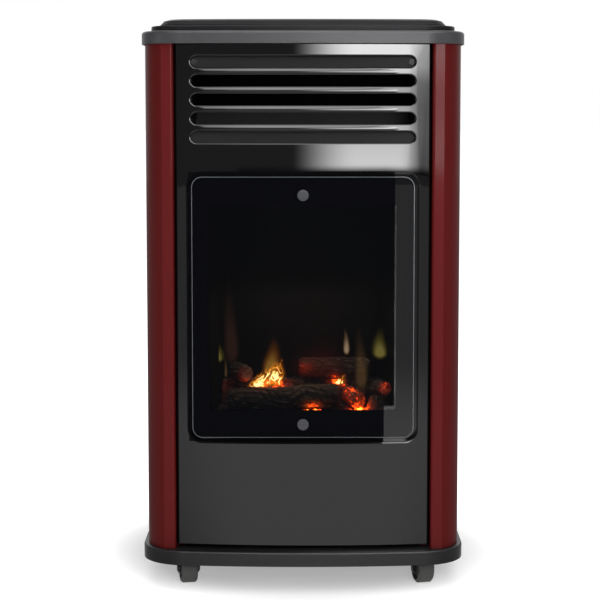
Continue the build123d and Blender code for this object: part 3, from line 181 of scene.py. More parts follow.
# --------------------------------------------------------------------------- finishes
@dataclass(frozen=True)
class Plastic:
    """Moulded plastic with a spark-eroded grain: a soft sheen broken by fine grain.

    Soft patches some 70 mm across, in the colour that handling leaves, keep its large
    faces from looking painted.
    """

    title: str
    colour: str
    worn: str
    roughness: float = 0.42
    grain_mm: float = 0.9
    depth_mm: float = 0.03
    ior: float = 1.5
    patches_per_metre: float = 14.0
    smoother: float = 0.06
    rougher: float = 0.08

    def build(self) -> bpy.types.Material:
        """Make the node material and return it."""
        material, tree, out = new_material(self.title)
        place = place_of(tree)
        patches = add_node(
            tree,
            "ShaderNodeTexNoise",
            Vector=place,
            Scale=self.patches_per_metre,
            Detail=4.0,
            Roughness=0.6,
        )
        shade = add_node(tree, "ShaderNodeValToRGB", in0=patches.outputs["Fac"])
        set_ramp(shade, [(0.30, self.colour), (0.72, self.worn)])
        grain = add_node(
            tree, "ShaderNodeTexNoise", Vector=place, Scale=1 / (self.grain_mm * MM), Detail=3.0
        )
        gloss = add_node(
            tree,
            "ShaderNodeMapRange",
            Value=grain.outputs["Fac"],
            To_Min=self.roughness - self.smoother,
            To_Max=self.roughness + self.rougher,
        )
        bump = add_node(
            tree,
            "ShaderNodeBump",
            Height=grain.outputs["Fac"],
            Strength=0.5,
            Distance=self.depth_mm * MM,
        )
        shader = add_node(
            tree,
            "ShaderNodeBsdfPrincipled",
            Base_Color=shade.outputs["Color"],
            Roughness=gloss.outputs["Result"],
            Normal=bump.outputs["Normal"],
            IOR=self.ior,
        )
        tree.links.new(shader.outputs[0], out.inputs[0])
        return material


@dataclass(frozen=True)
class Enamel:
    """Stoved enamel: a deep colour with fine flake, and sharp reflections where it is coated.

    Real flake is far finer than a pixel, so its cells are drawn as large as flake_mm.
    """

    title: str
    colour: str
    flake: str
    roughness: float
    metallic: float = 0.0
    flake_mm: float = 0.5
    flake_share: float = 0.0
    coat: float = 0.0
    coat_roughness: float = 0.5
    specular: float = 0.0
    flake_from: float = 0.55
    patches_per_metre: float = 5.0
    smoother: float = 0.03
    rougher: float = 0.05

    def build(self) -> bpy.types.Material:
        """Make the node material and return it."""
        material, tree, out = new_material(self.title)
        place = place_of(tree)
        flakes = add_node(
            tree, "ShaderNodeTexVoronoi", Vector=place, Scale=1 / (self.flake_mm * MM)
        )
        patches = add_node(
            tree, "ShaderNodeTexNoise", Vector=place, Scale=self.patches_per_metre, Detail=2.0
        )
        sparkle = add_node(
            tree,
            "ShaderNodeMapRange",
            Value=flakes.outputs["Color"],
            **span((self.flake_from, 1.0, 0.0, self.flake_share)),
        )
        shade = add_node(
            tree,
            "ShaderNodeMix",
            {"data_type": "RGBA"},
            Factor=sparkle.outputs["Result"],
            in6=linear(self.colour),
            in7=linear(self.flake),
        )
        gloss = add_node(
            tree,
            "ShaderNodeMapRange",
            Value=patches.outputs["Fac"],
            To_Min=self.roughness - self.smoother,
            To_Max=self.roughness + self.rougher,
        )
        shader = add_node(
            tree,
            "ShaderNodeBsdfPrincipled",
            Base_Color=shade.outputs[2],
            Roughness=gloss.outputs["Result"],
            Metallic=self.metallic,
            Specular_IOR_Level=self.specular,
            Coat_Weight=self.coat,
            Coat_Roughness=self.coat_roughness,
        )
        tree.links.new(shader.outputs[0], out.inputs[0])
        return material


class Lay(Enum):
    """Which way the fine lines of a metal surface run, as a stretch of its pattern."""

    ALONG_X = (0.02, 1.0, 1.0)
    ALONG_Z = (1.0, 1.0, 0.02)
    NONE = (1.0, 1.0, 1.0)


@dataclass(frozen=True)
class Metal:
    """Bare or plated metal: rolled, drawn or turned, with lines or spangle and dull marks.

    The zinc crystals of spangle are 6 to 10 mm across, each a slightly different grey.
    """

    title: str
    colour: str
    stain: str
    roughness: float
    lay: Lay = Lay.NONE
    line_mm: float = 1.0
    depth_mm: float = 0.01
    spangle: bool = False
    spangles_per_metre: float = 130.0
    duller: float = 0.08
    brighter: float = 0.06

    def build(self) -> bpy.types.Material:
        """Make the node material and return it."""
        material, tree, out = new_material(self.title)
        place = place_of(tree, self.lay.value)
        if self.spangle:
            lines = add_node(
                tree, "ShaderNodeTexVoronoi", Vector=place, Scale=self.spangles_per_metre
            )
            mark = lines.outputs["Color"]
        else:
            lines = add_node(
                tree, "ShaderNodeTexNoise", Vector=place, Scale=1 / (self.line_mm * MM), Detail=4.0
            )
            mark = lines.outputs["Fac"]
        shade = add_node(tree, "ShaderNodeValToRGB", in0=mark)
        set_ramp(shade, [(0.25, self.stain), (0.75, self.colour)])
        gloss = add_node(
            tree,
            "ShaderNodeMapRange",
            Value=mark,
            To_Min=self.roughness + self.duller,
            To_Max=self.roughness - self.brighter,
        )
        bump = add_node(
            tree, "ShaderNodeBump", Height=mark, Strength=0.4, Distance=self.depth_mm * MM
        )
        shader = add_node(
            tree,
            "ShaderNodeBsdfPrincipled",
            Base_Color=shade.outputs["Color"],
            Metallic=1.0,
            Roughness=gloss.outputs["Result"],
            Normal=bump.outputs["Normal"],
        )
        tree.links.new(shader.outputs[0], out.inputs[0])
        return material


@dataclass(frozen=True)
class Glass:
    """Heat-proof float glass: clear, very smooth, a little dark from its thickness."""

    title: str
    tint: str
    ior: float = 1.45

    def build(self) -> bpy.types.Material:
        """Make the node material and return it."""
        material, tree, out = new_material(self.title)
        shader = add_node(
            tree,
            "ShaderNodeBsdfPrincipled",
            Base_Color=linear(self.tint),
            Roughness=0.0,
            IOR=self.ior,
            Transmission_Weight=1.0,
        )
        tree.links.new(shader.outputs[0], out.inputs[0])
        return material


@dataclass(frozen=True)
class Ceramic:
    """Fired ceramic fibre painted as charred wood or coal, glowing where the fire heats it, and
    with painted firelight where the flames light it.

    The mesh carries two attributes: crack, from 0 on a ridge to 1 in a crack, and glow,
    the heat of the place together with painted firelight. On a mesh without them both are 0.
    break up the paint and the glow.
    """

    title: str
    char: str
    bark: str
    ash: str
    hot: str = "FF4A0A"
    core: str = "FFC040"
    power: float = 6.0
    flecks_per_metre: float = 210.0
    fleck_contrast: float = 0.7
    fleck_offset: float = -0.05
    ragged_glow: Span = (0.35, 0.65, 0.15, 1.5)
    depth_mm: float = 0.8

    def build(self) -> bpy.types.Material:
        """Make the node material and return it."""
        material, tree, out = new_material(self.title)
        place = place_of(tree)
        fleck = add_node(
            tree,
            "ShaderNodeTexNoise",
            Vector=place,
            Scale=self.flecks_per_metre,
            Detail=6.0,
            Roughness=0.7,
        ).outputs["Fac"]
        crack = add_node(tree, "ShaderNodeAttribute", {"attribute_name": "crack"})
        glow = add_node(tree, "ShaderNodeAttribute", {"attribute_name": "glow"})
        mixed = add_node(
            tree,
            "ShaderNodeMath",
            TIMES_PLUS,
            in0=fleck,
            in1=self.fleck_contrast,
            in2=self.fleck_offset,
        )
        height = add_node(
            tree, "ShaderNodeMath", MINUS, in0=mixed.outputs[0], in1=crack.outputs["Fac"]
        )
        shade = add_node(tree, "ShaderNodeValToRGB", in0=height.outputs[0])
        set_ramp(shade, [(0.0, self.char), (0.22, self.bark), (0.5, self.ash)])
        bump = add_node(
            tree, "ShaderNodeBump", Height=fleck, Strength=0.8, Distance=self.depth_mm * MM
        )
        ragged = add_node(tree, "ShaderNodeMapRange", Value=fleck, **span(self.ragged_glow))
        heat = add_node(
            tree, "ShaderNodeMath", TIMES, in0=glow.outputs["Fac"], in1=ragged.outputs["Result"]
        )
        # the ramp's dim end tints the logs orange-brown as painted firelight; its bright end is the
        # embers' own glow
        flame = add_node(tree, "ShaderNodeValToRGB", in0=heat.outputs[0])
        set_ramp(flame, [(0.0, "000000"), (0.12, "300400"), (0.45, self.hot), (1.0, self.core)])
        shader = add_node(
            tree,
            "ShaderNodeBsdfPrincipled",
            Base_Color=shade.outputs["Color"],
            Roughness=0.9,
            Normal=bump.outputs["Normal"],
            Emission_Color=flame.outputs["Color"],
            Emission_Strength=self.power,
        )
        tree.links.new(shader.outputs[0], out.inputs[0])
        return material


@dataclass(frozen=True)
class Flame:
    """Burning gas: light with no surface, clear at its edges and brightest low in the middle.

    The mesh carries the attribute burn, from 0 at the rim to 1 where it burns hottest.
    With a strand_mm, hot strands of gas are drawn where a noise crosses its middle value,
    pulled out as they rise.
    """

    title: str
    edge: str
    middle: str
    core: str
    power: float
    body: float
    strand_mm: float = 0.0
    strand_stretch: Vec = (1.0, 1.0, 0.6)
    strand_glow: Span = (0.0, 0.08, 1.5, 0.35)
    cover: tuple[float, float] = (0.02, 0.8)

    def strands(
        self, tree: bpy.types.NodeTree, burn: bpy.types.NodeSocket
    ) -> bpy.types.NodeSocket:
        """Break the burn into hot strands.

        Args:
            tree: The material's node tree.
            burn: The burn before.

        Returns:
            The burn after.
        """
        cloud = add_node(
            tree,
            "ShaderNodeTexNoise",
            Vector=place_of(tree, self.strand_stretch),
            Scale=1 / (self.strand_mm * MM),
            Detail=2.0,
            Distortion=1.2,
        )
        apart = add_node(tree, "ShaderNodeMath", MINUS, in0=cloud.outputs["Fac"], in1=0.5)
        near = add_node(tree, "ShaderNodeMath", {"operation": "ABSOLUTE"}, in0=apart.outputs[0])
        bright = add_node(
            tree, "ShaderNodeMapRange", Value=near.outputs[0], **span(self.strand_glow)
        )
        hot = add_node(tree, "ShaderNodeMath", TIMES, in0=burn, in1=bright.outputs["Result"])
        return hot.outputs[0]

    def build(self) -> bpy.types.Material:
        """Make the node material and return it."""
        material, tree, out = new_material(self.title)
        burn = add_node(tree, "ShaderNodeAttribute", {"attribute_name": "burn"}).outputs["Fac"]
        if self.strand_mm:
            burn = self.strands(tree, burn)
        colour = add_node(tree, "ShaderNodeValToRGB", in0=burn)
        set_ramp(colour, [(0.0, self.edge), (0.45, self.middle), (0.85, self.core)])
        cover = add_node(
            tree, "ShaderNodeMapRange", Value=burn, **span((*self.cover, 0.0, self.body))
        )
        shader = add_node(
            tree,
            "ShaderNodeBsdfPrincipled",
            Base_Color=(0.0, 0.0, 0.0, 1.0),
            Roughness=1.0,
            IOR=1.0,
            Emission_Color=colour.outputs["Color"],
            Emission_Strength=self.power,
            Alpha=cover.outputs["Result"],
        )
        tree.links.new(shader.outputs[0], out.inputs[0])
        return material


@dataclass(frozen=True)
class Rope:
    """Woven glass-fibre seal: twisted yarn, dull, darker between the strands.

    The yarn of yarn_mm is drawn about twice as coarse, so that it shows.
    """

    title: str
    colour: str
    gap_colour: str
    yarn_mm: float = 1.6
    depth_mm: float = 0.3
    wave_turn: float = 6.28

    def build(self) -> bpy.types.Material:
        """Make the node material and return it."""
        material, tree, out = new_material(self.title)
        weave = add_node(
            tree,
            "ShaderNodeTexWave",
            {"bands_direction": "DIAGONAL"},
            Vector=place_of(tree),
            Scale=1 / (self.yarn_mm * MM) / self.wave_turn,
            Distortion=1.5,
        )
        shade = add_node(tree, "ShaderNodeValToRGB", in0=weave.outputs["Fac"])
        # darker where the weave dips, between the strands
        set_ramp(shade, [(0.1, self.gap_colour), (0.8, self.colour)])
        bump = add_node(
            tree, "ShaderNodeBump", Height=weave.outputs["Fac"], Distance=self.depth_mm * MM
        )
        shader = add_node(
            tree,
            "ShaderNodeBsdfPrincipled",
            Base_Color=shade.outputs["Color"],
            Roughness=0.95,
            Normal=bump.outputs["Normal"],
        )
        tree.links.new(shader.outputs[0], out.inputs[0])
        return material


Finish = Plastic | Enamel | Metal | Glass | Ceramic | Flame | Rope

# injection-moulded polypropylene: near black and dull, with a soft line on its round edge
BASE_PLASTIC = Plastic(
    "moulded_dark_grey_polypropylene",
    "111113",
    "161618",
    roughness=0.38,
    depth_mm=0.02,
    ior=1.38,
)
# moulded ABS in the lightest grey of the plastics: a satin band round the top
CAP_PLASTIC = Plastic(
    "moulded_grey_abs",
    "2E2E30",
    "363639",
    roughness=0.40,
    grain_mm=0.8,
    depth_mm=0.012,
    ior=1.42,
)
# moulded ABS in black: a weak sheen, so the top stays dark under the light above it
DECK_PLASTIC = Plastic("moulded_black_abs", "141416", "1B1B1D", depth_mm=0.02, ior=1.22)
# ABS with a coarser texture: duller than the knob and the button set in it
FASCIA_PLASTIC = Plastic(
    "textured_black_abs", "131314", "1B1B1C", roughness=0.50, grain_mm=1.2, depth_mm=0.04
)
# polished phenolic: a hard black gloss with small bright highlights
KNOB_PLASTIC = Plastic(
    "moulded_black_phenolic", "0D0D0E", "151516", roughness=0.22, grain_mm=0.8, depth_mm=0.006
)
# undyed nylon: milky and a little waxy
NYLON = Plastic(
    "moulded_natural_nylon", "D8D4C8", "C9C4B4", roughness=0.45, grain_mm=1.0, depth_mm=0.02
)
# moulded rubber: dull grey, scuffed by the floor
TYRE = Plastic(
    "moulded_grey_rubber", "2A2A2A", "393836", roughness=0.65, grain_mm=0.7, depth_mm=0.04
)
# pressed fibre: matt brown-black, with no highlight
FIBRE = Plastic("pressed_fibre", "161412", "221E1A", roughness=0.8, grain_mm=0.5, depth_mm=0.04)
# glazed porcelain: white, with a wet highlight
INSULATOR = Plastic(
    "glazed_insulator_porcelain",
    "E6E2D6",
    "DAD4C4",
    roughness=0.18,
    grain_mm=1.5,
    depth_mm=0.004,
)
# painted highlight: a thin pale grey ring round the pane, standing for the line of light along the
# glass's edge
GLASS_EDGE_HIGHLIGHT = Plastic(
    "ground_glass_edge", "5C6066", "505459", roughness=0.35, grain_mm=0.4, depth_mm=0.01
)
# stoved metallic enamel: deep red, with a fine sparkle and wide, soft highlights
CABINET_ENAMEL = Enamel(
    "burgundy_metallic_enamel",
    "4C0607",
    "661817",
    roughness=0.5,
    metallic=0.2,
    flake_mm=0.45,
    flake_share=0.4,
    coat=0.1,
    coat_roughness=0.08,
    specular=0.09,
)
# gloss black enamel: nearly a mirror, in which the soft boxes show as grey shapes
FRONT_ENAMEL = Enamel(
    "gloss_black_enamel", "060607", "0A0A0B", roughness=0.25, coat=1.0, coat_roughness=0.02
)
# heat-proof enamel of the firebox: a matt black that leaves the fire to stand out
FIRE_ENAMEL = Enamel(
    "heat_proof_black_enamel",
    "030303",
    "070605",
    roughness=0.62,
    flake_mm=1.5,
    flake_share=0.4,
    specular=0.05,
)
# the same enamel in the duct behind the louvres: a shade lighter, with a trace of sheen
DUCT_ENAMEL = Enamel(
    "grey_heat_proof_enamel",
    "080809",
    "0D0D0E",
    roughness=0.5,
    flake_mm=1.5,
    flake_share=0.4,
    specular=0.2,
)
# powder coat: an even black satin with a fine mottle
REAR_ENAMEL = Enamel(
    "black_powder_coat",
    "111112",
    "1C1C1D",
    roughness=0.55,
    flake_mm=1.1,
    specular=0.4,
    flake_share=0.5,
)
# ceramic ink fired on the glass: pure black, under reflections as sharp as the pane's
PRINT_BLACK = Enamel(
    "black_ceramic_print", "040406", "060608", roughness=0.35, coat=1.0, coat_roughness=0.0
)
# spun and satin-plated: round grey heads with a wide soft highlight
STUD_CHROME = Metal("spun_satin_chrome", "A4A4A8", "6C6C70", 0.48, Lay.ALONG_X, line_mm=0.9)
# bright zinc plate: clean grey metal
ZINC_SCREW = Metal("zinc_plated_steel", "8F9092", "5C5C5E", 0.36)
# hot-dip galvanised sheet: a patchwork of crystals, each a slightly different grey
ZINC_SHEET = Metal("galvanised_steel_sheet", "8E9092", "6E7072", 0.42, spangle=True)
# black passivated zinc: dark, with a dull metal sheen
CASTER_STEEL = Metal("black_zinc_pressing", "3A3A3B", "202021", 0.42, line_mm=1.2)
# steel browned by the flame: straw to brown, streaked along the tube
BURNER_STEEL = Metal("heat_tinted_steel", "8A7A68", "4E4038", 0.45, Lay.ALONG_X, line_mm=1.2)
# turned brass: bright yellow with fine tool lines
BRASS = Metal("turned_brass", "C9A14E", "8F6C30", 0.28, Lay.ALONG_Z, line_mm=0.6)
# drawn aluminium tube: pale and soft, lightly marked
GAS_TUBE = Metal("drawn_aluminium", "B4B6B8", "8C8E90", 0.33)
# die-cast aluminium: grey, with the dull skin of the mould
VALVE_CASTING = Metal(
    "die_cast_aluminium", "9EA0A2", "76787A", 0.5, line_mm=0.9, depth_mm=0.04
)
# drawn steel turned to size: mid grey with fine lines along the pin
HINGE_STEEL = Metal("turned_steel", "8A8A8C", "5E5E60", 0.33, Lay.ALONG_X, line_mm=0.6)
# float glass with next to no tint: the fire shows through it clear and sharp
WINDOW_GLASS = Glass("heat_proof_glass", "F4F6F4")
# woven glass fibre: dull smoked grey yarn with dark gaps
ROPE_SEAL = Rope("woven_glass_fibre", "4A4640", "1C1A18")
# ceramic fibre painted as burnt wood: black in the cracks, brown bark, pale ash on ridges
CHARRED = Ceramic("charred_ceramic_fibre", "0E0B0A", "3A2C24", "7E6A5A")
# ceramic coals: darker than the logs, and glowing a little stronger where they are hot
COALS = Ceramic("ceramic_coals", "090706", "1E1612", "3C312A", power=7.0)
# burning gas: from white-hot strands at the embers to hazes that barely tint the dark, but for the
# brown haze, which is painted firelight on the firebox's left wall
WHITE_FLAME = Flame("white_gas_flame", "5E2400", "E6861A", "FFEC98", 1.9, 1.0, strand_mm=11.0)
YELLOW_FLAME = Flame("yellow_gas_flame", "3A1200", "A05A14", "E0A040", 0.46, 0.6)
PALE_FLAME = Flame("pale_gas_flame", "241E06", "6E6420", "AC9C50", 0.62, 0.55)
CANDLE_FLAME = Flame("candle_gas_flame", "3A2410", "8C6C4C", "C8A884", 0.65, 0.7)
RUST_FLAME = Flame("rust_gas_flame", "1A1006", "4E381C", "6E5230", 0.65, 0.5)
# not a flame: a tall faint sheet of light that paints the fire's glow on the left wall of the
# firebox
LEFT_WALL_FIRELIGHT = Flame("brown_gas_haze", "140C0A", "3A241C", "4A2E22", 0.75, 0.35)
RED_HAZE = Flame("red_gas_haze", "1C0408", "4A1014", "7A2A18", 0.30, 0.35)

NODE_FINISHES = {
    BASE_PLASTIC: ("base_tray",),
    CABINET_ENAMEL: ("side_panel_left", "side_panel_right"),
    FRONT_ENAMEL: ("front_panel",),
    CAP_PLASTIC: ("top_cap",),
    DECK_PLASTIC: ("top_deck", "top_panel", "control_flap"),
    FASCIA_PLASTIC: ("control_fascia",),
    KNOB_PLASTIC: ("control_knob", "igniter_button"),
    NYLON: ("piezo_igniter",),
    FIBRE: ("stud_washers",),
    FIRE_ENAMEL: ("firebox_shell", "firebox_floor", "flue_baffle"),
    DUCT_ENAMEL: ("hot_air_duct",),
    REAR_ENAMEL: ("rear_cover",),
    STUD_CHROME: ("glass_studs",),
    ZINC_SCREW: ("caster_screws",),
    CASTER_STEEL: ("duct_screws", "cover_screws"),
    ZINC_SHEET: ("divider_plate", "cylinder_floor"),
    BURNER_STEEL: ("burner", "pilot_burner", "thermocouple"),
    BRASS: ("injector", "hose_nozzle", "valve_plunger", "valve_spindle"),
    GAS_TUBE: ("burner_pipe", "pilot_pipe"),
    VALVE_CASTING: ("gas_valve",),
    HINGE_STEEL: ("flap_hinge_pins",),
    INSULATOR: ("spark_electrode",),
    WINDOW_GLASS: ("window_glass",),
    ROPE_SEAL: ("glass_gasket",),
    COALS: ("ember_bed",),
}
CORNERS = ("front_left", "front_right", "rear_left", "rear_right")


# ------------------------------------------------------------------------ mesh helpers
def surface(
    name: str,
    points: np.ndarray,
    closed: bool = False,
    values: dict[str, np.ndarray] | None = None,
    flip: bool = False,
) -> bpy.types.Object:
    """Make a smooth mesh from a grid of points.

    Each square of neighbouring grid points becomes one face.

    Args:
        name: The new object's name.
        points: Array of shape (rows, columns, 3) in metres.
        closed: Whether each row runs round, so that its last point joins its first.
        values: Per-point numbers, each of shape (rows, columns), by attribute name.
        flip: Whether to turn the faces over.

    Returns:
        The new object, linked to the scene.
    """
    rows, columns = points.shape[:2]
    index = np.arange(rows * columns).reshape(rows, columns)
    below, above = index[:-1], index[1:]
    if closed:
        quads = (below, np.roll(below, -1, axis=1), np.roll(above, -1, axis=1), above)
    else:
        quads = (below[:, :-1], below[:, 1:], above[:, 1:], above[:, :-1])
    faces = np.stack([q.reshape(-1) for q in quads], axis=1)
    if flip:
        faces = faces[:, ::-1]
    mesh = bpy.data.meshes.new(name)
    mesh.from_pydata(points.reshape(-1, 3), [], faces)
    mesh.update()
    mesh.polygons.foreach_set("use_smooth", np.ones(len(mesh.polygons), dtype=bool))
    for key, numbers in (values or {}).items():
        layer = mesh.attributes.new(key, "FLOAT", "POINT")
        layer.data.foreach_set("value", np.asarray(numbers, dtype=np.float32).reshape(-1))
    piece = bpy.data.objects.new(name, mesh)
    bpy.context.scene.collection.objects.link(piece)
    return piece


def round_sheet(
    radius: Sequence[float], height: Sequence[float], steps: int = 96
) -> np.ndarray:
    """Points of a sheet that runs round the Z axis: one circle for each radius and height.

    Args:
        radius: Radius of each circle, in metres.
        height: Height of each circle.
        steps: Number of points round.

    Returns:
        Array of shape (circles, steps, 3).
    """
    angle = np.linspace(0, FULL_TURN, steps, endpoint=False)[None, :]
    out, up = np.array(radius)[:, None], np.array(height)[:, None]
    return np.stack([out * np.cos(angle), out * np.sin(angle), up + 0 * angle], axis=-1)


def wave_noise(
    u: np.ndarray, v: np.ndarray, scale_u: float, scale_v: float, seed: int, waves: int = 8
) -> np.ndarray:
    """Smooth noise that joins round in u: a sum of sine waves of random pitch and phase.

    Args:
        u: Angle in radians, where the noise closes on itself.
        v: Distance along, in metres.
        scale_u: Highest number of waves round the circle.
        scale_v: Highest number of waves per metre along.
        seed: Seed of the random pitches and phases.
        waves: Number of sine waves.

    Returns:
        Numbers mostly between -1 and 1, in the shape of u and v.
    """
    random = np.random.default_rng(seed)
    total = np.zeros(np.broadcast(u, v).shape)
    for _ in range(waves):
        turns = random.integers(1, int(scale_u) + 1)
        pitch = random.uniform(0.2, 1.0) * scale_v * FULL_TURN
        total += np.sin(turns * u + pitch * v + random.uniform(0, FULL_TURN))
    return total / (0.5 * waves)


# ---------------------------------------------------------------------- the fire's heat and painted firelight
@dataclass(frozen=True)
class HotSpot:
    """A glowing place in the fire, hot embers and painted firelight alike: where, how far it
    reaches in mm, and how hot.
    """

    place: Vec
    reach: float
    heat: float


# the brightest spots are the embers' own glow; the dim ones are painted firelight, the flames'
# orange-brown light on the logs and coals
EMBER_AND_FIRELIGHT_SPOTS = (
    HotSpot((-50.0, -152.0, 270.0), 13.0, 0.9),
    HotSpot((-34.0, -150.0, 272.0), 12.0, 0.9),
    HotSpot((-88.0, -157.0, 266.0), 8.0, 0.2),
    HotSpot((-80.0, -158.0, 284.0), 9.0, 0.05),
    HotSpot((-76.0, -152.0, 270.0), 8.0, 0.2),
    HotSpot((3.0, -140.0, 292.0), 9.0, 0.15),
    HotSpot((44.0, -142.0, 272.0), 7.0, 1.0),
    HotSpot((54.0, -142.0, 270.0), 6.0, 0.5),
    HotSpot((66.0, -162.0, 262.0), 14.0, 0.25),
    HotSpot((77.0, -175.0, 240.0), 11.0, 0.6),
    HotSpot((113.0, -178.0, 269.0), 7.0, 0.35),
    HotSpot((10.0, -188.0, 240.0), 6.0, 1.5),
    HotSpot((19.0, -188.0, 240.0), 6.0, 1.1),
    HotSpot((-110.0, -150.0, 268.0), 12.0, 0.05),
)


def glow_and_firelight_at(points: np.ndarray) -> np.ndarray:
    """Glow of each point, ember heat and painted firelight together: the sum of bell curves round
    the hot spots.

    Args:
        points: Array of shape (..., 3) in metres.

    Returns:
        The glow in the shape of the points without their last axis.
    """
    total = np.zeros(points.shape[:-1])
    for spot in EMBER_AND_FIRELIGHT_SPOTS:
        gap = (points - np.array(spot.place) * MM) / (spot.reach * MM)
        total += spot.heat * np.exp(-(gap**2).sum(axis=-1))
    return total


# ------------------------------------------------------------------------------ pieces
@dataclass
class Dresser:
    """Gives every piece its finish, and builds each finish once."""

    nodes: dict[str, bpy.types.Object]

    def __post_init__(self) -> None:
        """Start with no finish built."""
        self.built: dict[Finish, bpy.types.Material] = {}

    def dress(self, piece: bpy.types.Object, finish: Finish) -> None:
        """Give a piece one finish all over.

        Args:
            piece: A CAD node or a new piece.
            finish: Its finish, whose material is made the first time it is asked for.
        """
        if finish not in self.built:
            self.built[finish] = finish.build()
        piece.data.materials.clear()
        piece.data.materials.append(self.built[finish])

    def dress_nodes(self) -> None:
        """Give every CAD node but the logs its finish."""
        for finish, names in NODE_FINISHES.items():
            for name in names:
                self.dress(self.nodes[name], finish)
        for corner in CORNERS:
            for part in ("plate", "fork", "axle"):
                self.dress(self.nodes[f"caster_{corner}_{part}"], CASTER_STEEL)
            self.dress(self.nodes[f"caster_{corner}_wheel"], TYRE)

    def finish_piece(
        self, piece: bpy.types.Object, finish: Finish, body: str, slot: str = ""
    ) -> None:
        """Dress a new piece and ride it on its body.

        Args:
            piece: The new object.
            finish: Its finish.
            body: The CAD body that carries it.
            slot: Not used.
        """
        self.dress(piece, finish)
        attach(piece, body)
        LOG.info("%s: %d faces on %s", piece.name, len(piece.data.polygons), body)


@dataclass(frozen=True)
class LogLine:
    """A CAD log's own line: its ends as x, depth from the front and height, all in mm.

    The sag is how far its middle is bent to the back.
    """

    node: str
    start: Vec
    end: Vec
    start_radius: float
    end_radius: float
    sag: float


